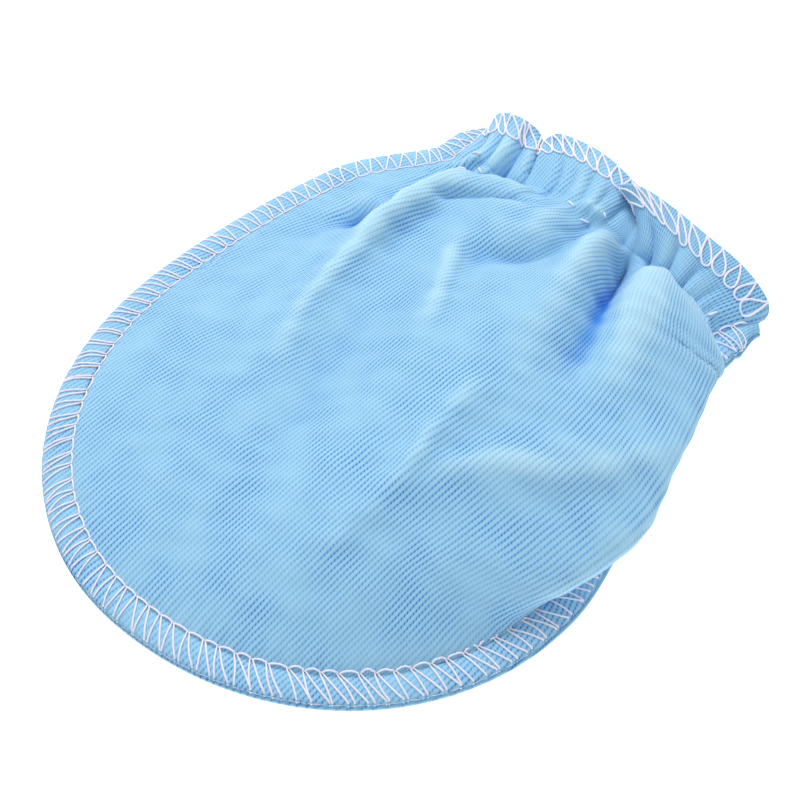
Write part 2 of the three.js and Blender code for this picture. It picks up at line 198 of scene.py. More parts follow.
FINE_FOLDS: dict[str, list[FoldPoint]] = {
    "under the roll": fold(
        (-19.5, 27.5, -0.4, 1.1), (-16.7, 30.3, -1.0, 1.0), (-10.9, 34.0, -1.3, 1.0),
        (-5.2, 36.0, -0.6, 1.0),
    ),
    "over the roll": fold(
        (-25.0, 39.0, -0.9, 1.2), (-20.1, 40.2, -1.5, 1.2), (-14.0, 40.6, -1.6, 1.1),
        (-8.0, 41.0, -1.2, 1.1), (-4.0, 41.5, -0.4, 1.1),
    ),
    "core of the deep valley": fold(
        (10.6, 42, -1.2, 1.2), (12.0, 37, -2.2, 1.2), (15.6, 29, -1.8, 1.3), (18.6, 21, -0.5, 1.6),
    ),
    "fan's shadow": fold(
        (-7.0, 22.3, -0.2, 1.4), (-0.5, 23.8, -0.7, 1.5), (4.0, 28.5, -0.9, 1.5), (4.3, 38.0, -0.7, 1.3),
    ),
    "pocket's core": fold((-25.4, 26, -0.4, 1.2), (-24.6, 32, -0.9, 1.3), (-22.4, 38.6, -1.0, 1.1)),
    "beside the ridge": fold((-31.5, 17.0, -0.2, 1.2), (-27.5, 20.0, -0.6, 1.3), (-24.6, 21.6, -0.5, 1.3)),
    "left ridge's crest": fold(
        (-18.8, 28.3, 0.3, 1.5), (-20.4, 19.8, 0.8, 1.6), (-20.1, 11.7, 0.8, 1.6), (-19.3, 3.3, 0.8, 1.7),
        (-17.4, -5.5, 0.7, 1.8), (-13.5, -15.5, 0.3, 2.0),
    ),
    "left ridge's foot": fold(
        (-25.0, 19.0, -0.3, 1.8), (-24.4, 10.0, -0.6, 1.8), (-23.3, 1.5, -0.6, 1.9),
        (-21.2, -6.5, -0.4, 2.0), (-18.4, -14.0, -0.2, 2.2),
    ),
    "right crest's top": fold(
        (41.0, 8.0, 0.3, 1.8), (38.0, -1.6, 0.6, 1.8), (32.0, -8.6, 0.6, 1.8), (25.0, -13.0, 0.5, 1.8),
        (21.5, -20.0, 0.3, 1.8),
    ),
    "palm ridge's top": fold(
        (16.1, -5.0, 0.3, 1.6), (16.8, -14.5, 0.5, 1.6), (18.2, -23.0, 0.5, 1.7), (17.5, -36.0, 0.3, 1.8),
    ),
    "fan ridge's top": fold((-8.3, 19.8, 0.5, 1.2), (-3.2, 10.9, 0.6, 1.3), (2.8, 1.3, 0.2, 1.6)),
    "pleat 1": fold((-2.4, 41.2, -0.9, 0.9), (-3.6, 35, -0.5, 1.2), (-4.2, 30, -0.1, 1.4)),
    "pleat 2": fold((0.4, 41.4, -0.9, 0.9), (0.1, 36, -0.5, 1.2), (-0.4, 31, -0.1, 1.4)),
    "pleat 3": fold((6.2, 41.6, -0.8, 0.8), (6.4, 37, -0.4, 1.1), (6.8, 32, -0.1, 1.3)),
    "pleat 4": fold((16.8, 41.2, -1.0, 0.9), (17.6, 37.6, -0.6, 1.1), (18.4, 34, -0.1, 1.4)),
    "pleat 5": fold((21.6, 40.6, -0.8, 0.9), (22.6, 36.5, -0.3, 1.2), (23.4, 33, -0.1, 1.4)),
    "pleat 6": fold((25.6, 40.0, -0.6, 0.8), (27.0, 36.5, -0.2, 1.1), (28.0, 34, -0.1, 1.3)),
}

FRILL_FOLDS: list[FrillFold] = [FrillFold(*row) for row in (
    (0.050, 0.055, -1.4, 0.020, 0.6), (0.115, 0.160, -0.7, 0.014, 0.6), (0.185, 0.238, -1.6, 0.024, 0.9),
    (0.262, 0.292, -0.9, 0.012, 1.0), (0.150, 0.170, 0.6, 0.020, 0.5), (0.360, 0.372, -0.8, 0.012, 0.55),
    (0.415, 0.425, -0.6, 0.013, 0.5), (0.470, 0.480, -0.8, 0.012, 0.6), (0.520, 0.535, -0.7, 0.012, 0.5),
    (0.565, 0.580, -0.9, 0.012, 0.6), (0.725, 0.722, -0.9, 0.012, 0.5), (0.790, 0.800, -0.9, 0.013, 0.6),
    (0.850, 0.865, -0.6, 0.013, 0.5), (0.905, 0.915, -0.5, 0.012, 0.5),
)]

ELASTIC_HEIGHTS: list[tuple[float, float]] = [
    (0, 1.8), (0.04, 4.2), (0.075, 5.8), (0.12, 4.9), (0.16, 4.5), (0.24, 4.9),
    (0.34, 6.7), (0.43, 8.8), (0.50, 10.0), (0.545, 9.4), (0.59, 7.2), (0.635, 5.5),
    (0.70, 5.6), (0.78, 6.2), (0.88, 5.4), (0.95, 3.8), (1, 1.8),
]

FRONT_HEM: list[HemPoint] = [HemPoint(*row) for row in (
    (0.00, -27.5, 54.0, 1.8), (0.06, -27.6, 53.4, 4.4), (0.12, -25.5, 52.8, 7.0), (0.19, -21.8, 52.4, 8.4),
    (0.25, -18.6, 52.6, 7.9), (0.295, -16.6, 52.4, 5.6), (0.335, -15.4, 52.7, 7.4),
    (0.37, -13.6, 52.9, 9.2), (0.43, -9.0, 52.9, 9.9), (0.49, -4.0, 53.3, 9.4), (0.55, 1.6, 53.7, 6.8),
    (0.59, 5.0, 53.8, 4.3), (0.61, 7.3, 53.4, 4.5), (0.63, 8.1, 52.4, 6.2), (0.65, 6.4, 51.2, 7.6),
    (0.67, 3.9, 50.0, 8.2), (0.688, 2.3, 49.2, 9.5), (0.705, 3.1, 48.9, 11.1), (0.725, 5.8, 49.2, 11.9),
    (0.76, 10.6, 50.0, 10.4), (0.81, 16.2, 50.4, 8.6), (0.88, 24.4, 50.6, 6.6), (0.94, 30.8, 49.6, 4.2),
    (0.975, 33.2, 48.0, 2.6), (1.00, 33.0, 45.6, 1.8),
)]


def smooth(start: float, end: float, value: np.ndarray) -> np.ndarray:
    """A soft step from 0 at start to 1 at end.

    Args:
        start: Where the step begins.
        end: Where it is complete.
        value: The places to read it at.

    Returns:
        The step's height at each place.
    """
    share = np.clip((np.asarray(value, float) - start) / (end - start), 0.0, 1.0)
    return share * share * (3.0 - 2.0 * share)


def bell(distance: np.ndarray, reach: float) -> np.ndarray:
    """A soft round bump, 1 at no distance and nearly 0 at twice its reach."""
    return np.exp(-((distance / reach) ** 2))


def spline(rows: Sequence[Sequence[float]], parameter: np.ndarray) -> np.ndarray:
    """A curve through the rows of a table.

    Args:
        rows: The table, a row for each knot.
        parameter: Places along it, counted in rows.

    Returns:
        A row of values for each place.
    """
    table = np.asarray(rows, float)
    last = len(table) - 1
    padded = np.vstack([2 * table[0] - table[1], table, 2 * table[last] - table[last - 1]])
    index = np.minimum(np.floor(parameter).astype(int), last - 1)
    f = (parameter - index)[..., None]
    a, b, c, d = (padded[index + k] for k in range(4))
    return 0.5 * (2 * b + (c - a) * f + (2 * a - 5 * b + 4 * c - d) * f**2 + (3 * b - a - 3 * c + d) * f**3)


class Table:
    """A table read by its first column, with a smooth curve through its rows."""

    def __init__(self, rows: Sequence[Sequence[float]], samples: int = 4000) -> None:
        """Draws the curve once.

        Args:
            rows: The table. Its first column rises.
            samples: Places at which the curve is kept.
        """
        self.values = spline(rows, np.linspace(0, len(rows) - 1, samples))

    def at(self, key: np.ndarray, column: int = 1) -> np.ndarray:
        """The curve's value in a column, where its first column is the key."""
        return np.interp(key, self.values[:, 0], self.values[:, column])


def unit(vectors: np.ndarray) -> np.ndarray:
    """The vectors at length 1."""
    return vectors / np.maximum(np.linalg.norm(vectors, axis=-1, keepdims=True), 1e-12)


def run_lengths(line: np.ndarray) -> np.ndarray:
    """How far along a line each of its places lies."""
    return np.concatenate([[0.0], np.cumsum(np.linalg.norm(np.diff(line, axis=0), axis=1))])


def alike(one: np.ndarray, other: np.ndarray) -> tuple[np.ndarray, np.ndarray]:
    """Two sets of shares as arrays of one shape."""
    return np.broadcast_arrays(np.asarray(one, float), np.asarray(other, float))


def softened(values: np.ndarray, passes: int) -> np.ndarray:
    """A grid of values with each place drawn towards its neighbours.

    Args:
        values: The grid, with rows and columns first.
        passes: How often it is softened.

    Returns:
        The softened grid.
    """
    out = values.copy()
    for _ in range(passes):
        for axis in (0, 1):
            edge = [(1, 1) if k == axis else (0, 0) for k in range(out.ndim)]
            wide = np.pad(out, edge, mode="edge")
            low = np.take(wide, range(wide.shape[axis] - 2), axis)
            high = np.take(wide, range(2, wide.shape[axis]), axis)
            out = 0.5 * out + 0.25 * (low + high)
    return out


@dataclass(frozen=True)
class SeamPlan:
    """The sewn outline seen from above, and where the elastic crosses it."""

    half_width: float = 42.0
    tip_y: float = -56.2
    widest_left: float = -8.0
    widest_right: float = -18.0
    roundness_left: float = 2.05
    roundness_right: float = 2.1
    corner_y: float = -33.0
    elastic_y: float = 42.5
    elastic_drop: float = 3.0
    left_length: float = 52.5
    left_draw_in: float = 9.6
    left_pinch: float = 5.0
    pinch_from: float = 26.0
    pinch_to: float = 44.0
    right_slope: float = 0.335
    right_softness: float = 8.0
    right_flare: float = 5.2
    flare_from: float = 24.0
    flare_to: float = 44.0
    straight_from: float = 4.0

    def round_end(self, y: np.ndarray, side: Side) -> np.ndarray:
        """The seam's half width where the mitten is round, below its widest place."""
        widest = self.widest_left if side is Side.LEFT else self.widest_right
        power = self.roundness_left if side is Side.LEFT else self.roundness_right
        share = np.clip((widest - y) / (widest - self.tip_y), 0.0, 1.0)
        return self.half_width * (1.0 - share**power) ** (1.0 / power)

    def right_taper(self, y: np.ndarray) -> np.ndarray:
        """The seam's place on the right, where the mitten narrows to the cuff."""
        above = y - self.widest_right
        taper = self.right_slope * (np.hypot(above, self.right_softness) - self.right_softness)
        return self.half_width - taper + self.right_flare * smooth(self.flare_from, self.flare_to, y)

    def seam_x(self, y: np.ndarray, side: Side) -> np.ndarray:
        """Where the seam line runs at a height, on one side."""
        y = np.asarray(y, float)
        if side is Side.LEFT:
            share = (y - self.widest_left) / self.left_length
            pinch = self.left_pinch * smooth(self.pinch_from, self.pinch_to, y)
            upper = self.half_width - self.left_draw_in * share**2 - pinch
            return -np.where(y < self.widest_left, self.round_end(y, side), upper)
        return np.where(y < self.widest_right, self.round_end(y, side), self.right_taper(y))

    def tip_arc(self, share: np.ndarray) -> np.ndarray:
        """A place on the round end, from the left corner past the tip to the right one.

        Args:
            share: How far along the arc, by length.

        Returns:
            The places, as x and y.
        """
        angle = np.linspace(0.0, math.pi, 601)
        left = angle < math.pi / 2
        power = np.where(left, 2.0 / self.roundness_left, 2.0 / self.roundness_right)
        widest = np.where(left, self.widest_left, self.widest_right)
        cosine = np.cos(angle)
        x = -self.half_width * np.sign(cosine) * np.abs(cosine) ** power
        y = widest - (widest - self.tip_y) * np.abs(np.sin(angle)) ** power
        keep = y <= self.corner_y
        corners = [[float(self.seam_x(self.corner_y, side)), self.corner_y] for side in Side]
        arc = np.vstack([corners[0], np.column_stack([x, y])[keep], corners[1]])
        length = run_lengths(arc)
        target = np.asarray(share, float) * length[-1]
        return np.stack([np.interp(target, length, arc[:, k]) for k in range(2)], axis=-1)

    def elastic_line(self, across: np.ndarray) -> np.ndarray:
        """The elastic's height at a share of the way across."""
        return self.elastic_y - self.elastic_drop * smooth(0.55, 1.0, across)

    def point(self, across: np.ndarray, along: np.ndarray) -> np.ndarray:
        """A place in the panel, blended from its four edges.

        Args:
            across: Share from the left seam to the right one.
            along: Share from the round end to the elastic.

        Returns:
            The places, as x and y.
        """
        across, along = alike(across, along)
        low, top, edge = [], [], []
        for side, share in ((Side.LEFT, 0.0), (Side.RIGHT, 1.0)):
            corner = self.tip_arc(np.array(share))
            end_y = float(self.elastic_line(np.array(share)))
            y = corner[1] + (end_y - corner[1]) * along
            low.append(corner)
            top.append(np.array([float(self.seam_x(end_y, side)), end_y]))
            edge.append(np.stack([self.seam_x(y, side), y], axis=-1))
        a, b = across[..., None], along[..., None]
        top_x = top[0][0] + (top[1][0] - top[0][0]) * across
        top_line = np.stack([top_x, self.elastic_line(across)], axis=-1)
        edges = (1 - b) * self.tip_arc(across) + b * top_line + (1 - a) * edge[0] + a * edge[1]
        corners = (1 - b) * ((1 - a) * low[0] + a * low[1]) + b * ((1 - a) * top[0] + a * top[1])
        return edges - corners

    def outline(self, steps: int = 90) -> np.ndarray:
        """The seam line from the cuff's left end round the tip to its right end."""
        shares = np.linspace(0.0, 1.0, steps + 1)
        left = self.point(np.zeros(steps), shares[:0:-1])
        tip = self.point(shares, np.zeros(steps + 1))
        right = self.point(np.ones(steps), shares[1:])
        return np.vstack([left, tip, right])

    def along_seam(self, points: np.ndarray) -> np.ndarray:
        """Roughly how far along the seam places lie: round the tip, then up the sides."""
        x, y = points[..., 0], points[..., 1]
        angle = np.arctan2(y - self.widest_left, x) * self.half_width
        upper = smooth(self.widest_left, self.straight_from, y)
        return angle * (1 - upper) + y * upper

    def from_seam(self, points: np.ndarray) -> tuple[np.ndarray, np.ndarray]:
        """How far places lie in from the seam, and the way out there.

        Args:
            points: Places as x and y.

        Returns:
            Distances, and outward directions of length 1.
        """
        line = self.outline()
        start, run = line[:-1], np.diff(line, axis=0)
        turn = np.gradient(line, axis=0)
        outward = unit(np.stack([turn[:, 1], -turn[:, 0]], axis=-1))
        flat = points.reshape(-1, 2)
        distance = np.empty(len(flat))
        out = np.empty_like(flat)
        block = 4096
        for first in range(0, len(flat), block):
            part = flat[first:first + block, None, :]
            share = np.clip(((part - start) * run).sum(-1) / (run**2).sum(-1), 0.0, 1.0)
            length = np.linalg.norm(start + share[..., None] * run - part, axis=-1)
            nearest = length.argmin(axis=1)
            rows = np.arange(len(nearest))
            between = share[rows, nearest][:, None]
            distance[first:first + block] = length[rows, nearest]
            out[first:first + block] = outward[nearest] * (1 - between) + outward[nearest + 1] * between
        return distance.reshape(points.shape[:-1]), out.reshape(points.shape)


@dataclass(frozen=True)
class MittenForm:
    """The middle of each panel's wall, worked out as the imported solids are."""

    plan: SeamPlan = SeamPlan()
    wall: float = 1.0
    layer_gap: float = 0.3
    rim_width: float = 4.3
    reach_left: float = 19.0
    reach_right: float = 16.0
    reach_elastic: float = 6.0
    rise_power: float = 3.0
    lean_most: float = 17.3
    lean_softness: float = 2.8
    lean_fade_from: float = 9.0
    lean_fade_to: float = 24.0
    grip_length: float = 3.2
    grip_power: float = 1.4
    flat_height: float = 3.0
    frill_belly: float = 0.7
    frill_lift_power: float = 0.7
    frill_spread_power: float = 1.5
    gather_waves: int = 5
    gather_height: float = 0.8
    gather_length: float = 16.0
    back_hem_wave: float = 0.9

    @property
    def back_level(self) -> float:
        """The back panel's middle level, on the ground."""
        return self.wall / 2

    @property
    def front_level(self) -> float:
        """The front panel's middle level at the seam, on the back panel."""
        return self.back_level + self.wall + self.layer_gap

    @property
    def origin_shift(self) -> np.ndarray:
        """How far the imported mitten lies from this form, by its rim at the tip."""
        low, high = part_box(Panel.BACK.value)
        tip = (self.plan.tip_y - self.rim_width) * MM
        return np.array([(low[0] + high[0]) / 2, low[1] - tip, 0.0]) / MM

    def puffed_height(self, points: np.ndarray) -> np.ndarray:
        """The front's height over the ground away from its edges.

        Args:
            points: Places as x and y.

        Returns:
            The heights.
        """
        x, y = points[..., 0], points[..., 1]
        height = np.full(x.shape, self.flat_height)
        for swell in SWELLS.values():
            offset = ((x - swell.x) / swell.reach_x) ** 2 + ((y - swell.y) / swell.reach_y) ** 2
            height += swell.height * np.exp(-offset)
        for rows in [*FOLDS.values(), *FINE_FOLDS.values()]:
            table = np.asarray(rows, float)
            length = np.linalg.norm(np.diff(table[:, :2], axis=0), axis=1).sum()
            count = math.ceil(length / (0.55 * table[:, 3].min())) + 1
            spacing = length / count
            for dab_x, dab_y, dab_height, width in spline(rows, np.linspace(0, len(rows) - 1, count + 1)):
                share = dab_height * spacing / (width * math.sqrt(math.pi))
                height += share * np.exp(-((x - dab_x) ** 2 + (y - dab_y) ** 2) / width**2)
        return height

    def rise(self, distance: np.ndarray, reach: np.ndarray) -> np.ndarray:
        """How far the cloth has risen at a distance from the seam, as a share."""
        return 1.0 - (1.0 - np.clip(distance / reach, 0.0, 1.0)) ** self.rise_power

    def front_body(self, across: np.ndarray, along: np.ndarray) -> np.ndarray:
        """The front between the round end and the elastic.

        Args:
            across: Share from the left seam to the right one.
            along: Share from the round end to the elastic.

        Returns:
            Places in space.
        """
        across, along = alike(across, along)
        return self.front_over(self.plan.point(across, along), across)

    def front_over(self, plan: np.ndarray, across: np.ndarray) -> np.ndarray:
        """The front over places in the plan.

        Args:
            plan: Places as x and y.
            across: Their share from the left seam to the right one.

        Returns:
            Places in space.
        """
        distance, out = self.plan.from_seam(plan)
        x, y = plan[..., 0], plan[..., 1]
        to_elastic = np.maximum(self.plan.elastic_line(across) - y, 0.0)
        grip = np.exp(-((to_elastic / self.grip_length) ** self.grip_power))
        right = smooth(-33, -5, y) * smooth(0, 14, x)
        open_rise = self.rise(distance, self.reach_left + (self.reach_right - self.reach_left) * right)
        lift = open_rise + (self.rise(distance, self.reach_elastic) - open_rise) * grip
        start = (1 - np.exp(-distance / self.lean_softness)) ** 2
        fade = 1 - smooth(self.lean_fade_from, self.lean_fade_to, distance)
        lean = self.lean_most * right * smooth(-1, 12, to_elastic) * start * fade
        place = plan + out * lean[..., None]
        top = self.puffed_height(place)
        top = top + (Table(ELASTIC_HEIGHTS).at(across) - top) * grip
        z = self.front_level + (top - self.front_level) * lift
        return np.concatenate([place, z[..., None]], axis=-1)

    def front_frill(self, across: np.ndarray, down: np.ndarray) -> np.ndarray:
        """The front half of the frill.

        Args:
            across: Share from the left seam to the right one.
            down: Share from the elastic to the hem.

        Returns:
            Places in space.
        """
        across, down = alike(across, down)
        start = self.front_body(across, np.ones_like(across))
        hem = Table(FRONT_HEM)
        belly = self.frill_belly * np.sin(math.pi * down) * np.sqrt(np.maximum(np.sin(math.pi * across), 0))
        x = start[..., 0] + (hem.at(across, 1) - start[..., 0]) * down**self.frill_spread_power
        y = start[..., 1] + (hem.at(across, 2) - start[..., 1]) * down
        z = start[..., 2] + (hem.at(across, 3) - start[..., 2]) * down**self.frill_lift_power + belly
        return np.stack([x, y, z], axis=-1)

    def back_body(self, across: np.ndarray, along: np.ndarray) -> np.ndarray:
        """The back, flat on the ground with low gathers at the elastic."""
        across, along = alike(across, along)
        plan = self.plan.point(across, along)
        near = np.exp(-(self.plan.elastic_line(across) - plan[..., 1]) / self.gather_length)
        wave = 0.5 - 0.5 * np.cos(2 * math.pi * self.gather_waves * across)
        z = self.back_level + self.gather_height * wave * smooth(0.25, 1, near)
        return np.concatenate([plan, z[..., None]], axis=-1)

    def back_frill(self, across: np.ndarray, down: np.ndarray) -> np.ndarray:
        """The back half of the frill, low on the ground."""
        across, down = alike(across, down)
        start = self.back_body(across, np.ones_like(across))
        first, last = FRONT_HEM[0], FRONT_HEM[-1]
        bow = smooth(0.55, 1, across)
        wave = 0.5 - 0.5 * np.cos(2 * math.pi * self.gather_waves * across)
        hem = np.stack([
            first.x + (last.x - first.x) * across,
            first.y + (last.y - first.y) * bow,
            self.back_level + self.back_hem_wave * wave,
        ], axis=-1)
        return start + (hem - start) * down[..., None]

    def surface(self, panel: Panel, across: np.ndarray, row: np.ndarray) -> np.ndarray:
        """A panel's middle surface.

        Args:
            panel: Which panel.
            across: Share from the left seam to the right one.
            row: 0 at the round end, 1 at the elastic and 2 at the hem.

        Returns:
            Places in space.
        """
        across, row = alike(across, row)
        body = self.front_body if panel is Panel.FRONT else self.back_body
        frill = self.front_frill if panel is Panel.FRONT else self.back_frill
        upper = body(across, np.minimum(row, 1.0))
        lower = frill(across, np.maximum(row - 1.0, 0.0))
        return np.where((row <= 1.0)[..., None], upper, lower)


@dataclass(frozen=True)
class FlatCloth:
    """Lays a panel's grid out flat with its lengths kept, so that the knit keeps its size on the folds.

    Attributes:
        levels: How coarse each stage of the grid is, and how often it is evened out.
        slack: How much wider than the plan the first guess is.
        grain: How far the knit's columns lean to the right at the panel's middle, as a slope.
        eagerness: How far a place moves of what its lengths ask for.
        evenness: How far it is then drawn to an even spacing, so that no cell turns over.
    """

    levels: tuple[tuple[int, int], ...] = ((10, 1500), (5, 600), (2, 200), (1, 60))
    slack: float = 1.1
    grain: float = 0.16
    eagerness: float = 1.6
    evenness: float = 0.12

    def lay(self, points: np.ndarray, start: np.ndarray) -> np.ndarray:
        """Finds the flat places.

        Args:
            points: The grid's places in space.
            start: A first guess at its flat places.

        Returns:
            The flat places, in millimetres across the knit's columns and along them.
        """
        flat = self.slack * start
        for stride, passes in self.levels:
            picks = [np.unique(np.append(np.arange(0, size, stride), size - 1)) for size in points.shape[:2]]
            part = self.evened(points, flat[np.ix_(*picks)], picks, passes)
            flat = self.spread(part, picks, points.shape[:2])
        return self.turned(flat, start)

    def evened(
        self, points: np.ndarray, flat: np.ndarray, picks: list[np.ndarray], passes: int,
    ) -> np.ndarray:
        """Moves the picked places until the lengths between them are those over the cloth.

        Args:
            points: The whole grid's places in space.
            flat: The picked places on the flat cloth.
            picks: The picked columns and rows.
            passes: How often they are moved.

        Returns:
            The picked places' new flat places.
        """
        runs = []
        for axis in (0, 1):
            piece = np.linalg.norm(np.diff(points, axis=axis), axis=-1)
            edge = [(0, 0), (0, 0)]
            edge[axis] = (1, 0)
            runs.append(np.diff(np.pad(np.cumsum(piece, axis=axis), edge)[np.ix_(*picks)], axis=axis))
        part = points[np.ix_(*picks)]
        wide, tall = (runs[0][:, :-1] + runs[0][:, 1:]) / 2, (runs[1][:-1] + runs[1][1:]) / 2
        one, other = unit(np.diff(part, axis=0)), unit(np.diff(part, axis=1))
        corner = 2 * wide * tall * ((one[:, :-1] + one[:, 1:]) * (other[:-1] + other[1:])).sum(-1) / 4
        low, high, every = slice(None, -1), slice(1, None), slice(None)
        square = wide**2 + tall**2
        pairs = [
            ((low, every), (high, every), runs[0]), ((every, low), (every, high), runs[1]),
            ((low, low), (high, high), np.sqrt(np.maximum(square + corner, 1e-6))),
            ((high, low), (low, high), np.sqrt(np.maximum(square - corner, 1e-6))),
        ]
        number = np.zeros(flat.shape[:2] + (1,))
        for near, far, _ in pairs:
            number[near] += 1
            number[far] += 1
        flat = flat.copy()
        for _ in range(passes):
            move = np.zeros_like(flat)
            for near, far, length in pairs:
                gap = flat[far] - flat[near]
                now = np.maximum(np.linalg.norm(gap, axis=-1), 1e-6)
                pull = gap * (0.5 * (now - length) / now)[..., None]
                move[near] += pull
                move[far] -= pull
            flat += self.eagerness * move / number
            for axis in (0, 1):
                lines, run = np.moveaxis(flat, axis, 0), np.moveaxis(runs[axis], axis, 0)[..., None]
                even = (lines[:-2] * run[1:] + lines[2:] * run[:-1]) / (run[:-1] + run[1:])
                lines[1:-1] += self.evenness * (even - lines[1:-1])
        return flat

    def spread(self, part: np.ndarray, picks: list[np.ndarray], shape: tuple[int, int]) -> np.ndarray:
        """The picked places' values for the whole grid, read between them."""
        columns, rows = (np.arange(size) for size in shape)
        tall = np.array([[np.interp(rows, picks[1], line[:, k]) for k in range(2)] for line in part])
        wide = np.array([
            [np.interp(columns, picks[0], tall[:, k, j]) for j in range(shape[1])] for k in range(2)
        ])
        return wide.transpose(2, 1, 0)

    def turned(self, flat: np.ndarray, plan: np.ndarray) -> np.ndarray:
        """The flat cloth moved and turned so that its middle lies at the plan's, with the grain's lean."""
        i, j = np.unravel_index(np.linalg.norm(plan, axis=-1).argmin(), plan.shape[:2])
        here, up = flat[i, j], flat[i, j + 8] - flat[i, j - 8]
        real = plan[i, j + 8] - plan[i, j - 8]
        angle = math.atan2(real[1], real[0]) - math.atan2(up[1], up[0]) + math.atan(self.grain)
        cosine, sine = math.cos(angle), math.sin(angle)
        return (flat - here) @ np.array([[cosine, sine], [-sine, cosine]])


@dataclass(frozen=True)
class ClothGrid:
    """How finely a panel is modelled."""

    across: int
    body: int
    frill: int
    rim: int
    crowding: tuple[Crowding, ...] = ()
    row_crowding: float = 0.5

    def columns(self) -> np.ndarray:
        """Shares across the panel, closer together where the cloth turns sharply."""
        steps = np.linspace(0.0, 1.0, 4001)
        density = np.ones_like(steps)
        for place in self.crowding:
            density += place.extra * bell(steps - place.at, place.width)
        total = np.concatenate([[0.0], np.cumsum((density[1:] + density[:-1]) / 2)])
        return np.interp(np.linspace(0, total[-1], self.across + 1), total, steps)

    def rows(self) -> np.ndarray:
        """Rows from 0 at the round end through 1 at the elastic to 2 at the hem."""
        share = np.linspace(0.0, 1.0, self.body + 1)
        body = share * (1 + self.row_crowding * (1 - share))
        return np.concatenate([body, 1.0 + np.linspace(0.0, 1.0, self.frill + 1)[1:]])


@dataclass(frozen=True)
class ClothRelief:
    """The small unevenness of sewn, washed interlock, in millimetres."""

    stitch_pitch: float = 2.5
    needle_dip: float = 0.3
    needle_reach: float = 1.0
    pucker: float = 0.10
    pucker_from: float = 1.2
    pucker_reach: float = 2.6
    gather: float = 0.22
    back_gather: float = 0.132
    gather_pitch: float = 3.1
    gather_reach_frill: float = 5.5
    gather_reach_body: float = 9.0
    gather_fade: float = 3.0
    ribs: tuple[Rib, ...] = (
        Rib(0.55, 1.0, 0.0, 1.3, 0.35), Rib(0.35, 1.73, 0.8, 0.0, 0.0), Rib(0.3, 0.62, 0.0, 2.1, 0.21),
    )
    ripple: float = 0.10
    ripple_length: float = 9.0
    ripple_from: float = 1.0
    ripple_full: float = 7.0
    back_reach: float = 12.0
    back_share: float = 0.8
    rim_crown: float = 0.12
    rim_fall: float = 0.65
    back_rim_fall: float = 0.15

    def at_seam(self, distance: np.ndarray, along: np.ndarray) -> np.ndarray:
        """The dip under the needle line and the puckers beside it.

        Args:
            distance: How far in from the seam.
            along: How far along it.

        Returns:
            The lift at each place.
        """
        dip = -self.needle_dip * bell(distance, self.needle_reach)
        wave = np.cos(2 * math.pi * along / self.stitch_pitch)
        return dip + self.pucker * wave * bell(distance - self.pucker_from, self.pucker_reach)

    def gathers(
        self, panel: Panel, width: np.ndarray, to_elastic: np.ndarray, distance: np.ndarray,
    ) -> np.ndarray:
        """The ribs that the elastic draws the cloth into.

        Args:
            panel: Which panel.
            width: How far across the gathered cloth.
            to_elastic: How far past the elastic.
            distance: How far in from the seam.

        Returns:
            The lift at each place.
        """
        ribs = sum(
            rib.height * np.cos(
                2 * math.pi * width / (rib.pitch * self.gather_pitch) + rib.phase
                + rib.sway * np.sin(rib.sway_rate * width))
            for rib in self.ribs
        )
        height = self.gather if panel is Panel.FRONT else self.back_gather
        reach = np.where(to_elastic > 0, self.gather_reach_frill, self.gather_reach_body)
        return height * ribs * bell(to_elastic, reach) * smooth(0.0, self.gather_fade, distance)

    def ripples(self, flat: np.ndarray, distance: np.ndarray) -> np.ndarray:
        """The low, irregular waves of washed cloth.

        Args:
            flat: Places in the plan, as x and y.
            distance: How far in from the seam.

        Returns:
            The lift at each place.
        """
        wave = 2 * math.pi / self.ripple_length
        x, y = flat[..., 0], flat[..., 1]
        ripple = (np.sin(wave * (x + 0.35 * y) + 1.1 * np.sin(0.6 * wave * y))
                  + 0.7 * np.sin(wave * 1.7 * (0.25 * x - y) + 1.4 * np.sin(0.5 * wave * x)))
        return self.ripple * ripple * smooth(self.ripple_from, self.ripple_full, distance)


